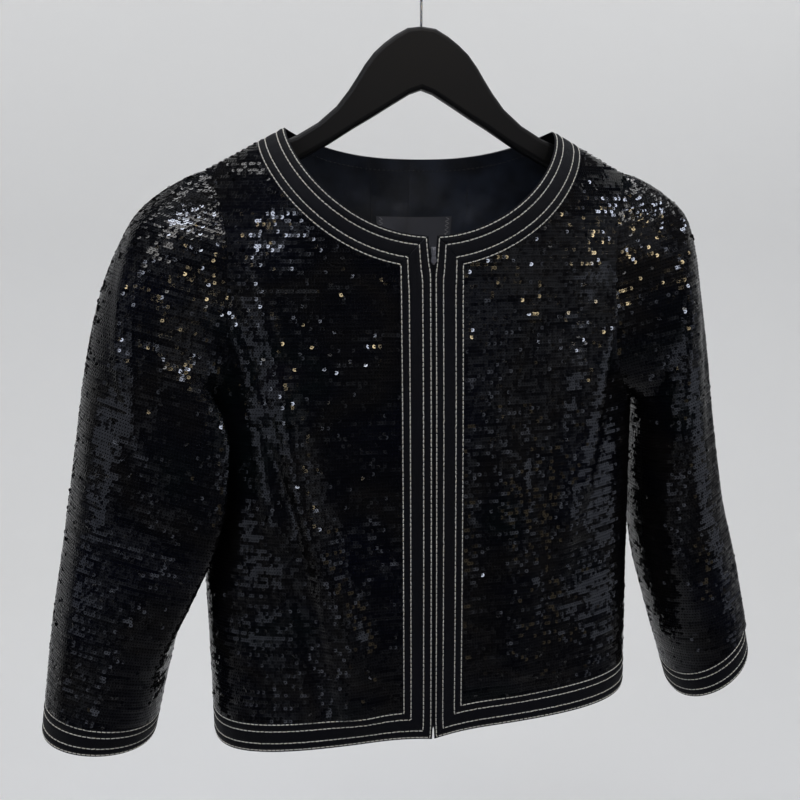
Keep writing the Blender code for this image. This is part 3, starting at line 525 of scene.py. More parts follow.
def band_profile(across):
    """Height of the band's face above the cloth, at distances across it."""
    edge = np.minimum(across, BAND_WIDTH - across)
    face = BAND_RISE * np.sqrt(np.clip(1 - (1 - np.clip(edge / BAND_ROUND, 0, 1)) ** 2, 0, 1))
    puff = PAIR_PUFF * np.sin(math.pi * np.clip(edge - EDGE_LINE, 0, PAIR_GAUGE) / PAIR_GAUGE) ** 2
    middle = MIDDLE_PUFF * ease((edge - EDGE_LINE - PAIR_GAUGE) / MIDDLE_ROUND)
    dip = sum(np.exp(-(((across - line) / STITCH_DIP_HALF) ** 2)) for line in LINES) * STITCH_DIP
    return face + puff + middle - dip


def band_stand(rows, columns):
    """How far a band's face stands at each place of a grid whose rows cross it evenly."""
    across = np.linspace(0, BAND_WIDTH, rows)[:, None]
    ripple = RIPPLE * np.sin(np.linspace(0, columns * RIPPLE_STEP, columns))[None, :]
    return band_profile(across) + ripple * (across > RIPPLE_EDGE) * (across < BAND_WIDTH - RIPPLE_EDGE)


def band_wall(share, height, side):
    return Wall(*torso_fine(share, height, side, "front", band_stand(*share.shape), WALL, False))


def band_strip(side, inner_line, outer_line):
    t = np.linspace(0, 1, BAND_ROWS)[:, None]
    height = mix(inner_line[1][None, :], outer_line[1][None, :], t)
    share = mix(share_round(*inner_line, "front")[None, :], share_round(*outer_line, "front")[None, :], t)
    return band_wall(share, height, side)


NECK_BAND_COLUMNS, FRONT_BAND_COLUMNS, HEM_BAND_COLUMNS, HEM_BACK_COLUMNS = 110, 240, 150, 110


def neck_band_wall(side):
    x, height = neckline(np.linspace(0, 1, CURVE_POINTS))
    kept = x >= zip_gap(0) + MEETING
    inner_line = spread_along(x[kept], height[kept], NECK_BAND_COLUMNS)
    return band_strip(side, inner_line, band_edge(BAND_WIDTH, NECK_BAND_COLUMNS))


def front_band_wall(side):
    inner_height = np.linspace(HEM + MEETING, -MEETING, FRONT_BAND_COLUMNS)
    low, high = HEM + BAND_WIDTH + MEETING, corner_height(BAND_WIDTH) - MEETING
    outer_line = np.full(FRONT_BAND_COLUMNS, BAND_WIDTH), np.linspace(low, high, FRONT_BAND_COLUMNS)
    return band_strip(side, (zip_gap(inner_height), inner_height), outer_line)


def hem_band_wall(side):
    first = share_round(zip_gap(HEM) + MEETING, HEM, "front")
    corner = share_round(BAND_WIDTH, HEM + BAND_WIDTH, "front")
    t = np.linspace(0, 1, BAND_ROWS)[:, None]
    share = mix(mix(first, corner, t), 1, np.linspace(0, 1, HEM_BAND_COLUMNS)[None, :])
    return band_wall(share, mix(HEM, HEM + BAND_WIDTH, np.broadcast_to(t, share.shape)), side)


def hem_band_back_wall():
    share, across = np.meshgrid(np.linspace(0, 1, HEM_BACK_COLUMNS), np.linspace(0, 1, BAND_ROWS))
    return Wall(*both_sides(share, mix(HEM, HEM + BAND_WIDTH, across), band_stand(*share.shape)))


def neck_band_back_places(rows):
    t = np.linspace(0, 1, NECK_COLUMNS)
    neck_x = NECK_HALF * t
    neck_height = back_neckline(neck_x)
    out_x = (NECK_HALF + BAND_WIDTH * math.cos(math.atan(SHOULDER_SLOPE))) * t
    out_height = back_edge(out_x, BAND_WIDTH)
    out_height[-1] = shoulder_line(out_x[-1])
    s = np.linspace(0, 1, rows)[:, None]
    height = mix(out_height[None, :], neck_height[None, :], s)
    first = share_round(out_x, out_height, "back")
    last = share_round(neck_x, neck_height, "back")
    return mix(first[None, :], last[None, :], s), height


ARMHOLE_POINTS = 120  # along each half of the armhole, as it is followed


def armhole_point(t, face, beyond=0.0):
    """A place on the armhole, from the shoulder at t = 0 to the underarm at t = 1, moved into the hole."""
    heights = np.linspace(SHOULDER_TOP, UNDERARM, ARMHOLE_POINTS)
    shares = share_round(read_table(ARMHOLE, face, heights), heights, face)
    quarters = quarter_section(heights, face)[2][:, -1]
    arcs = shares * quarters
    arcs[-1] = quarters[-1]
    # Distances are taken from the side seam, so that the cut's length is the cloth's
    from_side = quarters - arcs
    along = np.concatenate([[0], np.cumsum(np.hypot(np.diff(from_side), np.diff(heights)))])
    at = np.asarray(t, float) * along[-1]
    height = np.interp(at, along, heights)
    inset = np.interp(at, along, from_side)
    inward_inset = np.gradient(heights, along)
    inward_height = -np.gradient(from_side, along)
    inset = inset + beyond * np.interp(at, along, inward_inset)
    height = height + beyond * np.interp(at, along, inward_height)
    length = quarter_section(np.asarray(height, float), face)[2][..., -1]
    return np.clip(1 - inset / length, 0, 1), height


def sleeve(angle, along, side):
    """The sleeve's outer surface. The angle runs from the outer or top edge through the front."""
    table = SLEEVE_LEFT if side < 0 else SLEEVE_RIGHT
    angle, along = np.broadcast_arrays(np.asarray(angle, float), np.asarray(along, float))
    column = {name: read_table(table, name, along, by="along") for name in table if name != "along"}
    across = (1 + np.cos(angle)) / 2
    x = mix(column["inner_x"], column["outer_x"], across)
    height = mix(column["inner"], column["outer"], across)
    middle = (column["front"] + column["back"]) / 2
    half = (column["back"] - column["front"]) / 2
    swell = np.abs(np.sin(angle)) ** SLEEVE_POWER * np.sign(np.sin(angle))
    y = middle - half * swell
    turned = np.mod(angle, TURN)
    tuck = column["tuck"] * np.exp(-(((turned - TUCK_ANGLE) / TUCK_SPREAD) ** 2))
    x = x - tuck
    y = y - tuck * TUCK_FORWARD
    hung = hang(side * x, y, height)
    settled = ease(along / SLEEVE_SETTLES)[..., None]
    return mix(round_armhole(angle, side, torso), hung, settled)


def round_armhole(angle, side, measure):
    """A measure of the torso just inside the armhole, at angles from the shoulder round through the front."""
    turned = np.mod(angle, TURN)
    found = np.empty(angle.shape + (3,))
    for face, t, here in (
        ("front", turned / math.pi, turned <= math.pi),
        ("back", 2 - turned / math.pi, turned > math.pi),
    ):
        share, height = armhole_point(np.clip(t[here], 0, 1), face, ARMHOLE_SEAM)
        found[here] = measure(share, height, side, face)
    return found


def sleeve_fine(angle, along, side, rise=0.0, creased=True):
    """A piece of the sleeve, with its narrow creases. rise may be a grid."""
    angle, along = (grid.copy() for grid in np.broadcast_arrays(angle, along))
    rise = np.broadcast_to(np.asarray(rise, float), angle.shape)[..., None]
    points = sleeve(angle, along, side)
    out = normals(sleeve, angle, np.maximum(along, 2 * TINY), side, side)
    if along.flat[0] == 0:
        at_hole = round_armhole(angle[0], side, torso_normals)
        alike = (at_hole * out[0]).sum(axis=-1, keepdims=True) > ALIKE
        out[0] = np.where(alike, at_hole, out[0])
    if creased:
        lift = ridges(SLEEVE_CREASES, np.degrees(np.mod(angle, TURN)), along, side)
        points = points + out * (lift * ease(along / SLEEVE_SETTLES - CREASES_START))[..., None]
    return Wall(points + out * rise, points + out * (np.mean(rise) - WALL))


SLEEVE_ROWS = 150
SLEEVE_STEP = math.radians(2.6)  # between its columns
CUFF_COLUMNS = 181
CAP_SLOPE = 1.6  # cloth for each unit of height at the top of the sleeve's cap
ROW_TILT = 0.08  # how far the sleeve's rows of sequins turn from square to its length
LEVEL_ANGLE = math.radians(35)  # the line down the sleeve along which their distances are measured


def sleeve_piece_wall(side, start, end):
    seam = SEAM / 2 / SLEEVE_RADIUS
    angle = np.linspace(start + seam, end - seam, int((end - start) / SLEEVE_STEP))[None, :]
    cuff = 1 - (BAND_WIDTH + SEAM) / SLEEVE_LENGTH
    wall = sleeve_fine(angle, np.linspace(0, cuff, SLEEVE_ROWS)[:, None], side)
    wall.level = sleeve_level(wall.outer, side)
    return wall


def sleeve_level(points, side):
    """Distance up from the cuff, level across the sleeve, measured over the cloth down its front."""
    line = sleeve(np.full(CURVE_POINTS, LEVEL_ANGLE), np.linspace(0, 1, CURVE_POINTS), side)[::-1]
    ends = sleeve(np.radians([0, 90, 180, 270])[:, None], np.array([[0.12, 0.95]]), side).mean(axis=0)
    axis = unit(unit(ends[0] - ends[1]) + np.array([-side * ROW_TILT, 0, 0]))
    up = np.maximum.accumulate(line @ axis)
    here = points @ axis
    level = np.interp(here, up, lengths(line))
    return level + CAP_SLOPE * np.maximum(here - up[-1], 0) + np.minimum(here - up[0], 0)


def cuff_wall(side):
    angle = np.linspace(0, TURN, CUFF_COLUMNS)[None, :]
    along = np.linspace(1 - BAND_WIDTH / SLEEVE_LENGTH, 1, BAND_ROWS)[:, None]
    rise = band_profile(np.linspace(0, BAND_WIDTH, BAND_ROWS))[:, None]
    return sleeve_fine(angle, along, side, rise, False)


# Materials


def shader(name, colour, roughness, **sockets):
    """A material with its shader's own values set, and the means to add to it."""
    made = bpy.data.materials.new(name)
    made.use_nodes = True
    tree = made.node_tree
    bsdf = tree.nodes["Principled BSDF"]
    bsdf.inputs["Base Color"].default_value = (*colour, 1)
    bsdf.inputs["Roughness"].default_value = roughness
    for socket, value in sockets.items():
        bsdf.inputs[socket.replace("_", " ")].default_value = value
    return made, tree, bsdf


def feed(tree, socket, value):
    """Links a socket to another one, or sets its value."""
    if isinstance(value, bpy.types.NodeSocket):
        tree.links.new(value, socket)
    else:
        socket.default_value = value


def node(tree, kind, **values):
    """A node with its settings, and its sockets fed by name, where an underscore stands for a space."""
    made = tree.nodes.new(kind)
    for name, value in values.items():
        socket = name.replace("_", " ")
        if socket in made.inputs:
            feed(tree, made.inputs[socket], value)
        else:
            setattr(made, name, value)
    return made


def numbered(tree, kind, output, sockets, **settings):
    """The output of a node whose sockets are fed by number, because their names repeat."""
    made = node(tree, kind, **settings)
    for number, value in sockets.items():
        feed(tree, made.inputs[number], value)
    return made.outputs[output]


def ramp(tree, factor, *stops):
    """A colour that changes with a factor, from stops of a place and a colour or a grey."""
    made = node(tree, "ShaderNodeValToRGB", Fac=factor)
    elements = made.color_ramp.elements
    while len(elements) < len(stops):
        elements.new(1.0)
    for element, (position, colour) in zip(elements, stops):
        element.position = position
        element.color = (*colour, 1) if isinstance(colour, tuple) else (colour, colour, colour, 1)
    return made.outputs["Color"]


def coordinates(tree, output="Object"):
    return node(tree, "ShaderNodeTexCoord").outputs[output]


def noise(tree, scale, detail, where=None):
    where = coordinates(tree) if where is None else where
    return node(tree, "ShaderNodeTexNoise", Scale=scale, Detail=detail, Vector=where).outputs["Fac"]


def wave(tree, scale, distortion, direction, where):
    settings = {"Scale": scale, "Distortion": distortion, "bands_direction": direction, "Vector": where}
    return node(tree, "ShaderNodeTexWave", **settings).outputs["Fac"]


def bump(tree, bsdf, height, strength, distance):
    made = node(tree, "ShaderNodeBump", Strength=strength, Distance=distance, Height=height)
    feed(tree, bsdf.inputs["Normal"], made.outputs["Normal"])


def finish(tree, bsdf, colour, factor, rough_low, rough_high):
    """Gives the shader its colour, and a roughness that runs between two values with a factor."""
    feed(tree, bsdf.inputs["Base Color"], colour)
    rough = node(tree, "ShaderNodeMapRange", Value=factor, To_Min=rough_low, To_Max=rough_high)
    feed(tree, bsdf.inputs["Roughness"], rough.outputs["Result"])
    return rough.outputs["Result"]


def scaled(colour, share):
    return tuple(c * share for c in colour)


# Each sequin's rim: a painted shade colour for the shadowed gaps between the discs, and its roughness
RIM_PAINTED_SHADE = (0.0008, 0.0008, 0.0009, 1)
RIM_ROUGH = 0.85


def sequin_material():
    """Glossy black discs, each a little different, in patches that lean to brown, violet and green."""
    made, tree, bsdf = shader("sequins", (0.003, 0.003, 0.004), 0.08, Specular_IOR_Level=0.38)
    tint = ramp(
        tree, noise(tree, 9.0, 2.0),
        (0.32, (0.0009, 0.0012, 0.0038)), (0.44, (0.0011, 0.0012, 0.0023)), (0.52, (0.0044, 0.0038, 0.0035)),
        (0.60, (0.0012, 0.0014, 0.0027)), (0.68, (0.0011, 0.0024, 0.0027)), (0.76, (0.0026, 0.0022, 0.0042)),
    )
    own = node(tree, "ShaderNodeAttribute", attribute_name="own")
    split = node(tree, "ShaderNodeSeparateColor", Color=own.outputs["Color"])
    chance = split.outputs["Blue"]
    lighten = ramp(tree, chance, (0.0, (0.75, 0.75, 0.78)), (0.7, 1.0), (1.0, (1.3, 1.28, 1.25)))
    tinted = numbered(
        tree, "ShaderNodeMix", 2, {0: 1, 6: tint, 7: lighten}, data_type="RGBA", blend_type="MULTIPLY"
    )
    # The rim: painted shade darkens it, standing in for the shadowed gaps between neighbouring discs, and it
    # is rougher
    sockets = {0: coordinates(tree, "UV"), 1: (0.5, 0.5, 0)}
    off_centre = numbered(tree, "ShaderNodeVectorMath", "Value", sockets, operation="DISTANCE")
    flat = ramp(tree, off_centre, (0.0, 1), (0.425, 1), (0.455, 0.15))
    colour = numbered(tree, "ShaderNodeMix", 2, {0: flat, 6: RIM_PAINTED_SHADE, 7: tinted}, data_type="RGBA")
    shine = finish(tree, bsdf, colour, split.outputs["Green"], 0.03, 0.14)
    dulled = numbered(tree, "ShaderNodeMix", 0, {0: flat, 2: RIM_ROUGH, 3: shine})
    feed(tree, bsdf.inputs["Roughness"], dulled)
    return made


def cloth_material(name, colour, roughness, thread, depth, shift=1.35, sheen=0.0, gloss=0.3, patches=14.0):
    """Woven cloth: threads on the piece's own UVs, in metres, with a slow change of tone."""
    sockets = {"Sheen_Weight": sheen, "Sheen_Roughness": 0.5, "Specular_IOR_Level": gloss}
    made, tree, bsdf = shader(name, colour, roughness, **sockets)
    where = coordinates(tree, "UV")
    warp = wave(tree, 1 / thread, 0.4, "DIAGONAL", where)
    weft = wave(tree, 1 / thread, 0.3, "X", where)
    weave = numbered(tree, "ShaderNodeMath", "Value", {0: warp, 1: weft}, operation="MULTIPLY")
    slow = noise(tree, patches, 3.0)
    tone = ramp(tree, slow, (0.35, scaled(colour, 1 / shift)), (0.65, scaled(colour, shift)))
    threads = ramp(tree, weave, (0.0, 0.62), (0.7, 1.12))
    woven = numbered(
        tree, "ShaderNodeMix", 2, {0: 1, 6: tone, 7: threads}, data_type="RGBA", blend_type="MULTIPLY"
    )
    finish(tree, bsdf, woven, slow, roughness * 0.9, min(1, roughness * 1.12))
    bump(tree, bsdf, weave, 0.5, depth)
    return made


def moulded_material():
    made, tree, bsdf = shader("satin_moulding", (0.0028, 0.0028, 0.0030), 0.40, Specular_IOR_Level=0.26)
    slow = noise(tree, 11.0, 3.0)
    tone = ramp(tree, slow, (0.3, (0.0024, 0.0024, 0.0026)), (0.7, 0.0034))
    finish(tree, bsdf, tone, slow, 0.36, 0.50)
    bump(tree, bsdf, noise(tree, 900.0, 3.0), 0.25, 0.0001)
    return made


def metal_material(name, colour, rough_low, rough_high):
    made, tree, bsdf = shader(name, colour, rough_low, Metallic=1.0)
    drawn_out = node(tree, "ShaderNodeMapping", Vector=coordinates(tree), Scale=(1, 1, 12))
    scratches = noise(tree, 60.0, 5.0, drawn_out.outputs["Vector"])
    tone = ramp(tree, scratches, (0.35, scaled(colour, 0.65)), (0.6, colour))
    finish(tree, bsdf, tone, scratches, rough_low, rough_high)
    bump(tree, bsdf, scratches, 0.2, 0.0001)
    return made


def thread_material(name, colour):
    made, tree, bsdf = shader(name, colour, 0.75, Sheen_Weight=0.2)
    tone = ramp(tree, noise(tree, 40.0, 2.0), (0.3, scaled(colour, 0.82)), (0.7, colour))
    feed(tree, bsdf.inputs["Base Color"], tone)
    bump(tree, bsdf, wave(tree, 1800.0, 1.0, "DIAGONAL", coordinates(tree)), 0.4, 0.0001)
    return made


def floor_material():
    """Pale paper, with painted shade: darker towards the front, in front of the part."""
    made, tree, bsdf = shader("studio_paper", (0.80, 0.80, 0.79), 0.9)
    place_on = node(tree, "ShaderNodeSeparateXYZ", Vector=coordinates(tree))
    depth = node(tree, "ShaderNodeMapRange", Value=place_on.outputs["Y"], From_Min=-1.2, From_Max=0.7)
    # Painted shade: the paper's colour darkens from the back towards the camera
    tone = ramp(tree, depth.outputs["Result"], (0.0, (0.20, 0.20, 0.21)), (1.0, (0.80, 0.80, 0.79)))
    feed(tree, bsdf.inputs["Base Color"], tone)
    return made


ground = cloth_material("sequin_ground", (0.0016, 0.0016, 0.0020), 0.85, 0.0009, 0.0003, gloss=0.1)
band_cloth = cloth_material("band_twill", (0.0016, 0.0020, 0.0044), 0.60, 0.00075, 0.0002, 1.25, gloss=0.14)
lining_cloth = cloth_material(
    "lining_satin", (0.0100, 0.0138, 0.0225), 0.40, 0.0006, 0.0001, 1.9, sheen=0.03, gloss=0.35, patches=40.0
)
label_weave = cloth_material("label_weave", (0.078, 0.081, 0.096), 0.6, 0.0007, 0.0003, 1.2, sheen=0.05)
tape_weave = cloth_material("tape_weave", (0.006, 0.006, 0.008), 0.8, 0.0010, 0.0004, 1.2)
sequin_plastic = sequin_material()
cream_thread = thread_material("cream_thread", (0.66, 0.64, 0.56))
dark_thread = thread_material("dark_thread", (0.0035, 0.0045, 0.0075))
hole_thread = shader("hole_thread", (0.0012, 0.0012, 0.0014), 0.9, Specular_IOR_Level=0.04)[0]
pale_thread = thread_material("pale_thread", (0.30, 0.30, 0.30))
moulding = moulded_material()
zip_metal = metal_material("zip_metal", (0.30, 0.30, 0.32), 0.26, 0.42)
wire_metal = metal_material("wire_metal", (0.42, 0.42, 0.43), 0.15, 0.30)


# Making pieces


def place(name, mesh, looks, slot, *nodes, body=BODY):
    made = bpy.data.objects.new(name, mesh)
    bpy.context.scene.collection.objects.link(made)
    for look in looks:
        mesh.materials.append(look)
    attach(made, body)
    if nodes:
        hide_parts(*nodes)
    return made


def thinned(wall, row_step, column_step):
    """The wall with some of its rows and columns, the first and last among them."""
    rows, columns = wall.outer.shape[:2]
    i = np.unique(np.linspace(0, rows - 1, 1 + round((rows - 1) / row_step)).round().astype(int))
    j = np.unique(np.linspace(0, columns - 1, 1 + round((columns - 1) / column_step)).round().astype(int))
    return Wall(*(skin[i][:, j] for skin in (wall.outer, wall.inner)))


def ring_faces(rings, sides):
    """Quads between closed rings of points that follow one another."""
    return [
        (n * sides + a, n * sides + (a + 1) % sides, (n + 1) * sides + (a + 1) % sides, (n + 1) * sides + a)
        for n in range(rings - 1) for a in range(sides)
    ]


def smooth(mesh, sharp=None):
    """Shades the mesh smooth, but for edges that turn by more than an angle in degrees."""
    mesh.polygons.foreach_set("use_smooth", np.ones(len(mesh.polygons), bool))
    if sharp:
        mesh.set_sharp_from_angle(angle=math.radians(sharp))
    return mesh


def quick_mesh(name, points, faces, uv):
    """A mesh from arrays of points, equal-sided faces and a UV for each point."""
    mesh = bpy.data.meshes.new(name)
    count, corners = faces.shape
    mesh.vertices.add(len(points))
    mesh.vertices.foreach_set("co", np.ascontiguousarray(points, np.float32).ravel())
    mesh.loops.add(count * corners)
    mesh.loops.foreach_set("vertex_index", np.ascontiguousarray(faces, np.int32).ravel())
    mesh.polygons.add(count)
    mesh.polygons.foreach_set("loop_start", np.arange(0, count * corners, corners, dtype=np.int32))
    layer = mesh.uv_layers.new(name="UVMap")
    layer.data.foreach_set("uv", np.ascontiguousarray(uv[faces.ravel()], np.float32).ravel())
    mesh.update(calc_edges=True)
    mesh.validate()
    return mesh


CLOTH_SHARP = 55  # degrees at which a wall's edges stay crisp


def wall_mesh(name, wall, ring=False):
    """A closed mesh of the wall: material 0 on the outer skin and rims, 1 on the inner skin."""
    rows, columns = wall.outer.shape[:2]
    used = columns - 1 if ring else columns
    skins = [wall.outer[:, :used], wall.inner[:, :used]]
    points = np.concatenate([skin.reshape(-1, 3) for skin in skins])
    outer, inner = np.arange(2 * rows * used).reshape(2, rows, used)
    all_rows, all_columns = np.arange(rows - 1), np.arange(columns - 1)
    i, j = (grid.ravel() for grid in np.meshgrid(all_rows, all_columns, indexing="ij"))
    k = (j + 1) % used
    faces = [
        np.stack([outer[i, j], outer[i, k], outer[i + 1, k], outer[i + 1, j]], axis=1),
        np.stack([inner[i, j], inner[i + 1, j], inner[i + 1, k], inner[i, k]], axis=1),
    ]
    j, k = all_columns, (all_columns + 1) % used
    for i, turn in ((0, 1), (rows - 1, -1)):
        faces.append(np.stack([outer[i, k], outer[i, j], inner[i, j], inner[i, k]], axis=1)[:, ::turn])
    if not ring:
        i = all_rows
        for j, turn in ((0, 1), (columns - 1, -1)):
            rim = np.stack([outer[i, j], outer[i + 1, j], inner[i + 1, j], inner[i, j]], axis=1)
            faces.append(rim[:, ::turn])
    looks = np.concatenate([np.full(len(part), 1 if n == 1 else 0) for n, part in enumerate(faces)])
    faces = np.concatenate(faces)
    row, column = rows // 2, columns // 2
    a, b, c = wall.outer[row, column], wall.outer[row, column - 1], wall.outer[row - 1, column]
    if np.dot(np.cross(a - b, a - c), wall.out[row, column]) < 0:
        faces = faces[:, ::-1]
    across, along = np.meshgrid(lengths(wall.outer[row])[:used], lengths(wall.outer[:, column]))
    flat = np.stack([across, along], axis=-1)
    mesh = quick_mesh(name, points, faces, np.concatenate([flat, flat]).reshape(-1, 2))
    mesh.polygons.foreach_set("material_index", looks.astype(np.int32))
    return smooth(mesh, CLOTH_SHARP)


def cloth_piece(node_name, wall, looks, slot, ring=False):
    """The wall's mesh in its solid's place, with the looks of its outer skin and its inner skin."""
    return place(f"{node_name}_cloth", wall_mesh(f"{node_name}_cloth", wall, ring), looks, slot, node_name)


SEQUIN_RADIUS = 0.0020
SEQUIN_PITCH = 0.00245  # along a row
SEQUIN_ROWS = 0.00295  # between rows
SEQUIN_ROW_START = 0.6  # of a row, up from the panel's lowest point
SEQUIN_SIDES = 6
SEQUIN_LIFT = 0.00050
SEQUIN_LIFT_STRAY = 0.00012
SEQUIN_SIZE_STRAY = 0.02
SEQUIN_PLACE_STRAY = 0.06  # of the pitch
SEQUIN_LEAN = math.radians(3.5)  # each lies on the one beside it
SEQUIN_DROOP = math.radians(5)  # and hangs over the row below
SEQUIN_STRAY = math.radians(2.0)  # how much one differs from the next
SEQUIN_RUN = 7  # how many in a row lie alike
SEQUIN_RUN_STRAY = math.radians(3.2)
THREAD_SIDES = 3  # of the dark mark in each one's middle, where its thread goes in
THREAD_LIFT = 0.00005
THREAD_REACH = 0.00088
SEQUIN_LOOSE = 0.07  # the share that stand at odd angles
SEQUIN_LOOSE_STRAY = math.radians(13)
SEQUIN_START, SEQUIN_START_STRAY, SEQUIN_END = 0.35, 0.5, 0.3  # from a row's two ends, of the pitch
LEVEL_STEP = 0.02  # of a row or column, over which the level's growth is found


def contours(level, spacing):
    """Lines of equal level across a grid, as lists of fractional rows and columns."""
    rows, columns = level.shape
    flat = (level.ravel() - level.min()) / spacing - SEQUIN_ROW_START
    corner = (np.arange(rows - 1)[:, None] * columns + np.arange(columns - 1)).ravel()
    halves = [(corner, corner + 1, corner + columns), (corner + 1, corner + columns + 1, corner + columns)]
    links = {}
    for triangle in np.concatenate([np.stack(half, axis=1) for half in halves]):
        heights = flat[triangle]
        for line in range(max(0, math.ceil(heights.min())), math.floor(heights.max()) + 1):
            crossed = [
                (line, *sorted((int(triangle[k]), int(triangle[k - 1])))) for k in range(3)
                if (heights[k] < line) != (heights[k - 1] < line)
            ]
            if len(crossed) == 2:
                for here, there in (crossed, crossed[::-1]):
                    links.setdefault(here, []).append(there)
    found = []
    starts = sorted(links, key=lambda key: len(links[key]))
    seen = set()
    for start in starts:
        chain = []
        here = start
        while here is not None and here not in seen:
            seen.add(here)
            chain.append(here)
            here = next((key for key in links[here] if key not in seen), None)
        if len(chain) > 2:
            line, first, second = np.array(chain).T
            share = (line - flat[first]) / (flat[second] - flat[first])
            (row, column), (to_row, to_column) = (np.divmod(each, columns) for each in (first, second))
            found.append((mix(row, to_row, share), mix(column, to_column, share)))
    return found


def sequin_places(wall):
    """Where the sequins lie, in rows that keep level on the cloth: points, normals and the way down it."""
    places = []
    for row, column in contours(wall.level, SEQUIN_ROWS):
        along = lengths(wall.at(row, column)[0])
        start = SEQUIN_PITCH * (SEQUIN_START + SEQUIN_START_STRAY * random.random())
        spots = np.arange(start, along[-1] - SEQUIN_PITCH * SEQUIN_END, SEQUIN_PITCH)
        spots = spots + random.normal(0, SEQUIN_PITCH * SEQUIN_PLACE_STRAY, len(spots))
        places.append(np.stack([np.interp(spots, along, each) for each in (row, column)]))
    row, column = np.concatenate(places, axis=1)
    point, out = wall.at(row, column)
    here = sample(wall.level, row, column)
    # The way up the cloth is the direction in which its level grows
    last_row, last_column = (count - 1 for count in wall.level.shape)
    one, two = (
        (np.clip(row + a, 0, last_row), np.clip(column + b, 0, last_column))
        for a, b in ((LEVEL_STEP, 0), (0, LEVEL_STEP))
    )
    d1, d2 = (sample(wall.level, *place) - here for place in (one, two))
    one, two = (sample(wall.outer, *place) - point for place in (one, two))
    g11, g12, g22 = (one * one).sum(-1), (one * two).sum(-1), (two * two).sum(-1)
    spread = np.maximum(g11 * g22 - g12 * g12, 1e-20)
    up = one * ((g22 * d1 - g12 * d2) / spread)[:, None] + two * ((g11 * d2 - g12 * d1) / spread)[:, None]
    return point, out, unit(-up)


def corners_round(centre, first, second, turn, radius):
    """The corners of small shapes about their centres, at angles from one direction to another."""
    return centre[:, None] + radius * (first[:, None] * np.cos(turn) + second[:, None] * np.sin(turn))


def angles(count, sides, start=0.0):
    """Angles of even-sided shapes, each turned at random."""
    even = start + np.linspace(0, TURN, sides, endpoint=False)
    return even[None, :, None] + random.random(count)[:, None, None]


def sequins(name, wall, slot):
    """Discs in rows over the wall's outer skin, each turned its own way, and in runs along a thread."""
    point, out, down = sequin_places(wall)
    ahead = unit(np.cross(out, down))
    count = len(point)
    run = np.cumsum(random.random(count) < 1 / SEQUIN_RUN)
    own_stray = random.normal(0, SEQUIN_STRAY, (2, count))
    stray = own_stray + random.normal(0, SEQUIN_RUN_STRAY, (2, run[-1] + 1))[:, run]
    loose = random.random(count) < SEQUIN_LOOSE
    stray += random.normal(0, SEQUIN_LOOSE_STRAY, (2, count)) * loose
    lean = SEQUIN_LEAN + stray[0]
    droop = SEQUIN_DROOP + stray[1]
    first = unit(ahead * np.cos(lean)[:, None] + out * np.sin(lean)[:, None])
    second = unit(down * np.cos(droop)[:, None] + out * np.sin(droop)[:, None])
    second = unit(second - first * (second * first).sum(-1, keepdims=True))
    lift = SEQUIN_LIFT + random.random(count) * SEQUIN_LIFT_STRAY
    centre = point + out * lift[:, None]
    turn = angles(count, SEQUIN_SIDES)
    radius = SEQUIN_RADIUS * (1 + random.normal(0, SEQUIN_SIZE_STRAY, count))[:, None, None]
    corners = corners_round(centre, first, second, turn, radius)
    winding = np.cross(corners[:, 1] - corners[:, 0], corners[:, 2] - corners[:, 1])
    facing = int(np.sign((winding * out).sum(-1).mean()))
    faces = np.arange(count * SEQUIN_SIDES).reshape(count, SEQUIN_SIDES)[:, ::facing]
    ring = np.stack([0.5 + 0.5 * np.cos(turn[..., 0]), 0.5 + 0.5 * np.sin(turn[..., 0])], axis=-1)
    mesh = quick_mesh(name, corners.reshape(-1, 3), faces, ring.reshape(-1, 2))
    own = mesh.color_attributes.new("own", "FLOAT_COLOR", "POINT")
    chance = [random.random(count), random.random(count), random.random(run[-1] + 1)[run], np.ones(count)]
    values = np.repeat(np.stack(chance, axis=1), SEQUIN_SIDES, axis=0)
    own.data.foreach_set("color", values.astype(np.float32).ravel())
    discs = place(name, mesh, [sequin_plastic], slot)
    face = np.cross(first, second)
    face *= np.sign((face * out).sum(-1, keepdims=True))
    turn = angles(count, THREAD_SIDES, TURN / 4)
    corners = corners_round(centre + face * THREAD_LIFT, first, second, turn, THREAD_REACH)
    faces = np.arange(count * THREAD_SIDES).reshape(count, THREAD_SIDES)[:, ::facing]
    flat = np.tile([[0, 0], [1, 0], [0, 1]], (count, 1)) * 0.001
    tied = quick_mesh(f"{name}_holes", corners.reshape(-1, 3), faces, flat)
    return discs, place(f"{name}_holes", tied, [hole_thread], slot)


def template_capsule(sides=6):
    """A stitch along X of unit length and unit radius: rings of points and their faces."""
    places = ((-0.5, 0.3), (-0.38, 1.0), (0.38, 1.0), (0.5, 0.3))
    turn = np.linspace(0, TURN, sides, endpoint=False)
    points = np.array([(x, r * math.cos(a), r * math.sin(a)) for x, r in places for a in turn])
    # Each end closes with quads across its small ring
    last = (len(places) - 1) * sides
    ends = [(0, 3, 2, 1), (0, 5, 4, 3)]
    ends += [(last, last + 1, last + 2, last + 3), (last, last + 3, last + 4, last + 5)]
    return points, np.array(ring_faces(len(places), sides) + ends)


STITCH, STITCH_FACES = template_capsule()
STITCH_LONG = 0.0036
STITCH_RADIUS = 0.00047
STITCH_FLAT = 0.8  # its height for its width
STITCH_BOW = 0.65  # how far its middle stands over its ends, of its radius
STITCH_START, STITCH_END = 0.6, 0.4  # from a line's two ends, of the pitch
STITCH_PLACE_STRAY = 0.02  # of the pitch
STITCH_TURN_STRAY = 0.05
STITCH_SIZE_STRAY = 0.03


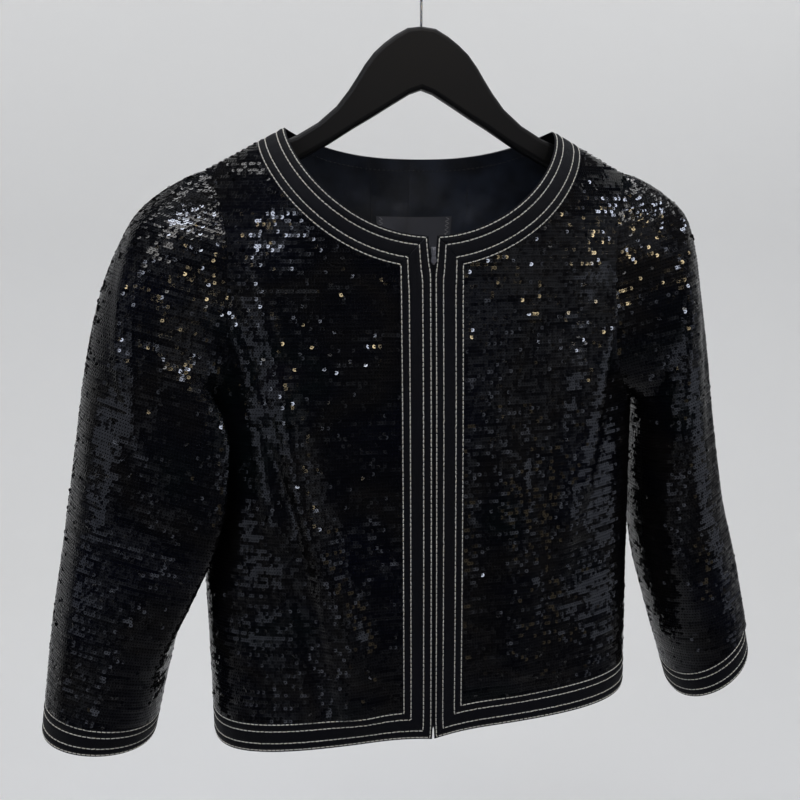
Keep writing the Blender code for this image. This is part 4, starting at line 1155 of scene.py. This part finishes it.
def stitches(name, runs, look, slot, pitch=0.0040, length=STITCH_LONG, radius=STITCH_RADIUS):
    """Stitches along runs of points with normals, each a small thread that dips in at both ends."""
    found = []
    for points, out in runs:
        along = lengths(points)
        spots = np.arange(pitch * STITCH_START, along[-1] - pitch * STITCH_END, pitch)
        spots = spots + random.normal(0, pitch * STITCH_PLACE_STRAY, len(spots))
        values = (points, np.gradient(points, along, axis=0), out)
        found.append([along_at(spots, along, each) for each in values])
    centre, head, out = (np.concatenate(each) for each in zip(*found))
    head = unit(head)
    out = unit(out - head * (out * head).sum(-1, keepdims=True))
    side = np.cross(out, head)
    head = unit(head + side * random.normal(0, STITCH_TURN_STRAY, len(head))[:, None])
    side = np.cross(out, head)
    count = len(centre)
    size = length * (1 + random.normal(0, STITCH_SIZE_STRAY, count))[:, None, None]
    shape = STITCH[None]
    bow = (1 - (shape[..., :1] / 0.5) ** 2) * radius * STITCH_BOW
    points = (
        centre[:, None]
        + head[:, None] * shape[..., :1] * size
        + side[:, None] * shape[..., 1:2] * radius
        + out[:, None] * (shape[..., 2:] * radius * STITCH_FLAT + bow)
    )
    faces = STITCH_FACES[None] + (np.arange(count) * len(STITCH))[:, None, None]
    flat = np.tile(STITCH[:, :2] * length, (count, 1))
    mesh = quick_mesh(name, points.reshape(-1, 3), faces.reshape(-1, 4), flat)
    return place(name, smooth(mesh), [look], slot)


def band_runs(wall):
    """The four lines of topstitching along a band's rows."""
    rows, columns = wall.outer.shape[:2]
    column = np.arange(columns) - 1e-6 * (np.arange(columns) == columns - 1)
    return [wall.at(np.full(columns, line / BAND_WIDTH * (rows - 1)), column) for line in LINES]


# The garment

PANEL_STEPS = (3, 1)  # of a wall's rows and columns, one in so many is drawn
BAND_STEPS = (1, 2)
CORNER_STEP = 0.0004  # along a line, as its corners are rounded
CORNER_REACH = 5  # steps to each side


def panel(node_name, wall):
    piece = cloth_piece(node_name, thinned(wall, *PANEL_STEPS), [ground, lining_cloth], "sequinned_cloth")
    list(sequins(f"{node_name}_sequins", wall, "sequinned_cloth"))


def band(node_name, wall, runs=None, ring=False):
    """A band and its topstitching, whose lines may run on over the bands that it meets."""
    piece = cloth_piece(node_name, thinned(wall, *BAND_STEPS), [band_cloth, band_cloth], "navy_band", ring)
    runs = band_runs(wall) if runs is None else runs
    sewn = [stitches(f"{node_name}_stitches", runs, cream_thread, "navy_band")] if runs else []


def flipped(wall):
    """The wall with its columns the other way about."""
    turned = Wall(wall.outer[:, ::-1], wall.inner[:, ::-1])
    turned.out = wall.out[:, ::-1]
    return turned


def joined_runs(*walls):
    """Lines that run on from band to band, round their mitred corners."""
    runs = []
    for parts in zip(*(band_runs(wall) for wall in walls)):
        points, out = (np.concatenate([part[n] for part in parts]) for n in (0, 1))
        along = lengths(points)
        kept = np.concatenate([[True], np.diff(along) > 1e-7])
        spots = np.arange(0, along[-1], CORNER_STEP)
        path = along_at(spots, along[kept], np.concatenate([points, out], axis=1)[kept])
        window = np.hanning(2 * CORNER_REACH + 3)[1:-1]
        window /= window.sum()
        ends = np.pad(path, ((CORNER_REACH, CORNER_REACH), (0, 0)), mode="reflect", reflect_type="odd")
        path = np.stack([np.convolve(column, window, mode="valid") for column in ends.T], axis=1)
        runs.append((path[:, :3], unit(path[:, 3:])))
    return runs


front_share, front_height = front_places()
front_bands = {}
for side, word in SIDES:
    skins = torso_fine(front_share, front_height, side, "front")
    panel(f"front_{word}", Wall(*skins, torso_level(front_height, "front")))
    neck, front, hem = neck_band_wall(side), front_band_wall(side), hem_band_wall(side)
    front_bands[word] = front
    band(f"neck_band_{word}", neck, [])
    band(f"front_band_{word}", front, joined_runs(flipped(neck), flipped(front), hem))
    band(f"hem_band_{word}", hem, [])
    seams = SEAMS[side]
    panel(f"sleeve_{word}_upper", sleeve_piece_wall(side, *seams))
    panel(f"sleeve_{word}_under", sleeve_piece_wall(side, seams[1], seams[0] + TURN))
    band(f"cuff_band_{word}", cuff_wall(side), ring=True)

back_share, back_height = back_places()
back_level = torso_level(back_height, "back")
panel("back", Wall(*both_sides(back_share, back_height), mirrored(back_level, back_level)))
band("hem_band_back", hem_band_back_wall())
band_share, band_height = neck_band_back_places(BAND_ROWS)
back_rise = np.broadcast_to(band_profile(np.linspace(BAND_WIDTH, 0, BAND_ROWS))[:, None], band_share.shape)
band("neck_band_back", Wall(*both_sides(band_share, band_height, back_rise)))


# Inside the back neck

FACING_SEAMS = (-0.040, -0.005, 0.050)  # where its vertical seams run
FACING_ROWS = 56  # of the back's, below the neck band
FACING_TOP_ROWS = 9
FACING_PART = 7 / 8  # of the neck band's columns
SEAM_FIRST_ROW = 8
EDGE_SEWN = 4  # rows down from its top, where its edge is sewn
SEAM_LIFT = 0.00005
SEAM_HALF = 0.0012
SEAM_DEEP = 0.0008
SLACK = 0.0009  # how far the lining hangs off the back in slow waves
SLACK_FINE = 0.00025
LABEL_HALF = 0.0336
LABEL_ROWS, LABEL_COLUMNS = 30, 56
LABEL_BESIDE = 20  # the facing's row whose width says where the label's sides lie
LABEL_PUFF = 0.0004
TIE_COLUMNS = (1.5, 4.5)  # between which its ties run, in from its side
TIE_ROW = 0.6  # where they start, in from its end


def facing_wall():
    low_share, low_height = (grid[-FACING_ROWS:, :NECK_COLUMNS] for grid in (back_share, back_height))
    top_share, top_height = neck_band_back_places(FACING_TOP_ROWS)
    kept = 1 + round((NECK_COLUMNS - 1) * FACING_PART)
    share = np.concatenate([low_share, top_share])[:, :kept]
    height = np.concatenate([low_height, top_height])[:, :kept]
    outer, inner = both_sides(share, height, -WALL - SEAM, FACING_THICK)
    x, z = inner[..., 0], inner[..., 2]
    groove = sum(np.exp(-(((x - seam) / SEAM_HALF) ** 2)) for seam in FACING_SEAMS)
    slack = np.sin(x * 90 + 2 * np.sin(z * 40)) * np.sin(z * 75) * SLACK
    slack += np.sin(x * 210 + z * 160) * SLACK_FINE
    return Wall(outer, inner + unit(outer - inner) * (groove * SEAM_DEEP + np.minimum(slack, 0))[..., None])


facing = facing_wall()
facing_piece = cloth_piece("back_facing", facing, [lining_cloth, lining_cloth], "lining")
under_edge = len(facing.inner) - EDGE_SEWN
edge_run = (facing.inner[under_edge], -facing.out[under_edge])
sewn_edge = stitches("neck_edge_stitches", [edge_run], dark_thread, "lining", 0.0042, 0.0024, 0.00042)
seam_runs = []
for seam in FACING_SEAMS:
    lines = facing.inner[SEAM_FIRST_ROW:under_edge, :, 0]
    columns = np.array([np.interp(seam, line, np.arange(len(line))) for line in lines])
    point, out = facing.at(np.arange(SEAM_FIRST_ROW, under_edge, dtype=float), columns)
    seam_runs.append((point + (FACING_THICK + SEAM_LIFT) * -out, -out))
seams = stitches("facing_seams", seam_runs, dark_thread, "lining", 0.0024, 0.0025, 0.00020)

middle = facing.inner.shape[1] // 2
heights = facing.inner[:, middle, 2] - NECK_Z
label_heights = np.linspace(LABEL_FOOT, LABEL_TOP, LABEL_ROWS)[:, None]
label_rows = np.interp(label_heights, heights, np.arange(len(heights)))
half = LABEL_HALF / abs(facing.inner[LABEL_BESIDE, -1, 0]) * middle
label_columns = np.linspace(middle - half, middle + half, LABEL_COLUMNS)[None, :]
label_base = sample(facing.inner, label_rows, label_columns)
label_in = unit(sample(-facing.out, label_rows, label_columns))
down_it, across_it = np.linspace(0, math.pi, LABEL_ROWS), np.linspace(0, 3 * math.pi, LABEL_COLUMNS)
puff = LABEL_PUFF * np.sin(down_it)[:, None, None] * np.sin(across_it)[None, :, None] ** 2
label = Wall(label_base + label_in * (SEAM + LABEL_THICK + puff), label_base + label_in * SEAM)
label_piece = cloth_piece("neck_label", label, [label_weave, label_weave], "label_cloth")


def zigzag(column_low, column_high, count=18):
    """Short runs that cross a label's edge to and fro."""
    rows = np.linspace(TIE_ROW, LABEL_ROWS - 1 - TIE_ROW, count)
    runs = []
    for n in range(count - 1):
        ends = (column_low, column_high) if n % 2 else (column_high, column_low)
        runs.append(label.at(np.linspace(rows[n], rows[n + 1], 3), np.linspace(*ends, 3)))
    return runs


near, far = TIE_COLUMNS
tie_runs = zigzag(near, far) + zigzag(LABEL_COLUMNS - 1 - far, LABEL_COLUMNS - 1 - near)
ties = stitches("label_stitches", tie_runs, pale_thread, "label_cloth", 0.0016, 0.0020, 0.00022)


# Zip

TOOTH_PITCH = 0.0020
TOOTH_SIZE = (0.0018, 0.0012, 0.0012)
TOOTH_ROUND = 0.28  # of its least size
TEETH_INSET = 0.002  # from the tape's ends to the first and last
TOOTH_PLACE = (0.0004, -0.0002)  # off the tape's edge: sideways and forward
TEETH_SHOWN = 0.014  # down from the top, above the slider and beside it
TAPE_EDGE = 2 * TAPE_PROUD  # its edge shows between the bands where they part
TAPE_SHORT = slice(6, -6)  # the band's columns, of which the tape goes without the first and last
TAPE_ROWS = 9
TAPE_APART = 0.00001  # from the middle


def tape_wall(side, inner):
    edge, across = inner[0, TAPE_SHORT], inner[BAND_ROWS // 2, TAPE_SHORT]
    down = np.gradient(edge, axis=0)
    out = unit(np.cross(across - edge, down) * side)
    face = mix(edge[None], across[None], np.linspace(TAPE_EDGE, TAPE_REACH, TAPE_ROWS)[:, None, None])
    skins = [face - out * SEAM, face - out * (SEAM + TAPE_THICK)]
    for skin in skins:
        skin[0, :, 0] = side * np.maximum(side * skin[0, :, 0], TAPE_APART)
    return Wall(*skins)


def rounded_blocks(name, centres, size, look, slot):
    """Small blocks with softened edges, as zip teeth have."""
    shape = bmesh.new()
    bmesh.ops.create_cube(shape, size=1.0)
    bmesh.ops.scale(shape, vec=Vector(size), verts=shape.verts)
    offset = min(size) * TOOTH_ROUND
    bmesh.ops.bevel(shape, geom=list(shape.edges), offset=offset, segments=2, profile=0.6, affect="EDGES")
    shape.verts.ensure_lookup_table()
    points = np.array([v.co for v in shape.verts])
    faces = [[v.index for v in face.verts] for face in shape.faces]
    shape.free()
    mesh = bpy.data.meshes.new(name)
    count = len(points)
    mesh.from_pydata(
        [tuple(p + centre) for centre in centres for p in points], [],
        [[v + n * count for v in face] for n in range(len(centres)) for face in faces],
    )
    return place(name, smooth(mesh, 40), [look], slot)


for side, word in SIDES:
    tape = tape_wall(side, front_bands[word].inner)
    tape_piece = cloth_piece(f"zip_tape_{word}", tape, [tape_weave, tape_weave], "zip_tape")
    edge = tape.outer[0]
    along = lengths(edge)
    beside = 0 if side < 0 else TOOTH_PITCH / 2
    spots = np.arange(TEETH_INSET, along[-1] - TEETH_INSET, TOOTH_PITCH) + beside
    rows = along_at(spots, along, edge)[spots > along[-1] - TEETH_SHOWN]
    rows += np.array([side * TOOTH_PLACE[0], TOOTH_PLACE[1], 0])
    teeth = rounded_blocks(f"zip_teeth_{word}", rows, TOOTH_SIZE, zip_metal, "zip_metal")


def domed_plate(name, outline, thick, centre, look, slot, node_name, body):
    """A flat shape in the XZ plane whose edges are rounded over."""
    outline = np.array(outline)
    middle = outline.mean(axis=0)
    # Share of the outline's size and of half the thickness, from the rim in to the middle
    steps = ((1.0, 0.55), (0.97, 0.80), (0.90, 0.95), (0.75, 1.0), (0.0, 1.0))
    rings = [(share, -tall) for share, tall in steps[::-1]] + [(1.0, 0.0), *steps]
    points = []
    for share, tall in rings:
        points += [(x, -tall * thick / 2, z) for x, z in middle + (outline - middle) * share]
    shape = bmesh.new()
    verts = [shape.verts.new(point) for point in points]
    for face in ring_faces(len(rings), len(outline)):
        shape.faces.new([verts[i] for i in face])
    bmesh.ops.remove_doubles(shape, verts=shape.verts, dist=1e-6)
    bmesh.ops.recalc_face_normals(shape, faces=shape.faces)
    bmesh.ops.translate(shape, vec=Vector(centre), verts=shape.verts)
    mesh = bpy.data.meshes.new(name)
    shape.to_mesh(mesh)
    shape.free()
    return place(name, smooth(mesh), [look], slot, node_name, body=body)


pull_low, pull_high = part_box("zip_pull")
top, foot = PULL_TOP, PULL_WIDTH / 2
drop = PULL_LENGTH - top - foot
outline = [(top * math.cos(a), top * math.sin(a)) for a in np.linspace(0, math.pi, 13)]
outline += [(foot * math.cos(a), -drop + foot * math.sin(a)) for a in np.linspace(math.pi, TURN, 25)]
hinge = (0, (pull_low[1] + pull_high[1]) / 2, pull_high[2] - PULL_TOP)
domed_plate("zip_pull_tab", outline, PULL_THICK, hinge, zip_metal, "zip_metal", "zip_pull", "pull")

for word, look in (("zip_slider", zip_metal), ("hanger_body", moulding)):
    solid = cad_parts[word]
    for slot in solid.material_slots:
        slot.material = look


# Hook


def tube(name, path, radius, sides, look, slot, node_name):
    """A round wire along a path in the XZ plane, with rounded ends."""
    path = np.array(path)
    ahead = unit(np.gradient(path, axis=0))
    across = np.array([0.0, 1.0, 0.0])
    up = np.cross(across, ahead)
    caps = ((0.35, 0.0), (0.8, 0.3), (1.0, 0.8))  # radius, and distance in from the end, in radii
    rings = [(path[0] + ahead[0] * radius * inside, up[0], size) for size, inside in caps]
    rings += [(p, u, 1.0) for p, u in zip(path[1:-1], up[1:-1])]
    rings += [(path[-1] - ahead[-1] * radius * inside, up[-1], size) for size, inside in caps[::-1]]
    turn = np.linspace(0, TURN, sides, endpoint=False)
    points = [p + radius * r * (across * math.cos(a) + u * math.sin(a)) for p, u, r in rings for a in turn]
    faces = ring_faces(len(rings), sides)
    faces.append(tuple(range(sides))[::-1])
    faces.append(tuple(range((len(rings) - 1) * sides, len(rings) * sides)))
    mesh = bpy.data.meshes.new(name)
    mesh.from_pydata([tuple(p) for p in points], [], faces)
    return place(name, smooth(mesh, 60), [look], slot, node_name)


LEAD_IN = 0.004  # how far below the bend the straight shank ends
radius = HOOK_INSIDE + WIRE
round_crown = np.linspace(HOOK_START, HOOK_END, 90)
crook = [(radius * math.sin(a), 0, -HOOK_INSIDE + radius * math.cos(a)) for a in round_crown]
foot_z = NECK_Z + HANGER_HEIGHT + SEAM
bend_z = crook[0][2] - HOOK_NECK - LEAD_IN
shank = [(0, 0, z) for z in np.linspace(foot_z, bend_z, 8)]
lead = [(crook[0][0] * ease(t), 0, mix(bend_z, crook[0][2], t)) for t in np.linspace(0, 1, 24)[1:-1]]
tube("hanger_wire", shank + lead + crook, WIRE, 20, wire_metal, "hook_wire", "hanger_hook")


# Studio

FLOOR = -1.42
BACK_WALL = 3.6
WALL_TOP = 3.2
BEND = 1.2
COOL = (0.77, 0.83, 1.0)
WARM = (1.0, 0.80, 0.48)
SOFT = (1.0, 0.98, 0.95)
JACKET_MIDDLE = (0, 0, -0.35)
# Panels that the sequins mirror, in clusters or softly: place, size, watts and colour
PANELS = {
    "ceiling_left": ((-0.48, -0.65, 1.25), (0.28, 0.16), 3.6, COOL),
    "ceiling_right": ((0.50, -0.60, 1.30), (0.30, 0.18), 4.0, COOL),
    "cap_left": ((-0.75, -1.50, 0.95), (0.20, 0.10), 1.6, COOL),
    "cap_right": ((0.40, -1.50, 0.60), (0.14, 0.10), 1.0, COOL),
    "chest_left": ((-1.08, -1.08, 0.60), (0.30, 0.16), 3.2, COOL),
    "column_left": ((-1.14, -1.27, 0.03), (0.08, 0.10), 0.5, COOL),
    "chest_right": ((1.28, -1.09, 0.20), (0.12, 0.10), 0.8, COOL),
    "shoulder_right": ((1.43, -0.20, 0.78), (0.24, 0.14), 2.0, COOL),
    "side_left": ((-1.55, -1.05, -0.35), (0.90, 0.80), 1.7, COOL),
    "side_right": ((1.70, -1.05, -0.42), (1.20, 0.80), 2.5, COOL),
    "low_left": ((-0.75, -1.41, -1.16), (0.30, 0.20), 0.25, COOL),
    "low_right": ((0.69, -1.54, -0.70), (0.30, 0.25), 0.16, WARM),
    "streak_right": ((0.30, -1.60, -0.45), (0.07, 0.50), 0.12, COOL),
}
WARM_SPOTS = (
    (0.15, -0.85, 0.95), (-0.60, -0.95, 0.75), (0.55, -1.00, 0.90), (0.05, -1.44, 0.55),
    (-1.34, -0.99, 0.50), (0.25, -1.55, 0.31), (1.15, -1.00, 0.25), (1.20, -0.60, 0.55),
)


def cyclorama():
    """A round floor, which curves up behind and beside the part into a wall far off."""
    profile = [(0.0, FLOOR), (BACK_WALL - BEND, FLOOR)]
    for a in np.linspace(0, math.pi / 2, 16)[1:]:
        profile.append((BACK_WALL - BEND + BEND * math.sin(a), FLOOR + BEND - BEND * math.cos(a)))
    profile.append((BACK_WALL, WALL_TOP))
    steps = 72
    points, faces = [], []
    for turn in np.linspace(0, TURN, steps, endpoint=False):
        rise = ease((math.sin(turn) + 0.45) / 0.35)
        points += [(r * math.cos(turn), r * math.sin(turn), mix(FLOOR, high, rise)) for r, high in profile]
    count = len(profile)
    for n in range(steps):
        a, b = n * count, (n + 1) % steps * count
        faces += [(a + k, b + k, b + k + 1, a + k + 1) for k in range(count - 1)]
    mesh = bpy.data.meshes.new("studio_floor")
    mesh.from_pydata(points, [], faces)
    mesh.validate()
    mesh.materials.append(floor_material())
    made = bpy.data.objects.new("studio_floor", smooth(mesh))
    bpy.context.scene.collection.objects.link(made)


def lamp(name, place_at, aim, size, power, colour=(1, 1, 1)):
    data = bpy.data.lights.new(name, "AREA")
    data.shape = "RECTANGLE"
    data.size, data.size_y = size
    data.energy = power
    data.color = colour
    made = bpy.data.objects.new(name, data)
    made.location = place_at
    made.rotation_euler = (Vector(aim) - Vector(place_at)).to_track_quat("-Z", "Y").to_euler()
    made.visible_camera = False
    bpy.context.scene.collection.objects.link(made)


cyclorama()
for name, (where, size, power, colour) in PANELS.items():
    lamp(name, where, JACKET_MIDDLE, size, power, colour)
lamp("soft_key", (-0.5, -1.2, 1.9), JACKET_MIDDLE, (0.9, 0.6), 10, SOFT)
for n, where in enumerate(WARM_SPOTS):
    lamp(f"warm_spot_{n}", where, (0, 0, -0.3), (0.08, 0.08), 0.50, WARM)
for side, word in SIDES:
    lamp(f"wall_{word}", (side * 1.2, 0.7, 2.5), (side * 3.2, 2.0, 0.3), (2.0, 1.4), 39)
lamp("wall_middle", (0, 1.0, 2.7), (0, BACK_WALL, 0.4), (2.0, 1.2), 22)

world = bpy.data.worlds.new("studio")
bpy.context.scene.world = world
world.use_nodes = True
tree = world.node_tree
room = noise(tree, 2.2, 2.0, coordinates(tree, "Generated"))
light = ramp(
    tree, room,
    (0.40, (0.012, 0.015, 0.026)), (0.52, (0.048, 0.052, 0.066)), (0.62, (0.34, 0.36, 0.41)),
)
tree.links.new(light, tree.nodes["Background"].inputs["Color"])

CAMERA_YAW = math.radians(7.0)
CAMERA_PITCH = math.radians(11.6)
CAMERA_FROM = (-0.018, -0.73)  # from the hanger's middle, across and along its own view
FOCAL = 801 / 800  # of the frame's width
SENSOR = 36

data = bpy.data.cameras.new("camera")
data.sensor_width = SENSOR
data.lens = SENSOR * FOCAL
data.clip_start = 0.05
camera = bpy.data.objects.new("camera", data)
across, back = CAMERA_FROM
cos, sin = math.cos(CAMERA_YAW), math.sin(CAMERA_YAW)
camera.location = (across * cos + back * sin, -across * sin + back * cos, NECK_Z)
ahead = Vector((sin * math.cos(CAMERA_PITCH), cos * math.cos(CAMERA_PITCH), -math.sin(CAMERA_PITCH)))
camera.rotation_euler = ahead.to_track_quat("-Z", "Y").to_euler()
bpy.context.scene.collection.objects.link(camera)
bpy.context.scene.camera = camera
bpy.context.scene.view_settings.view_transform = "Standard"
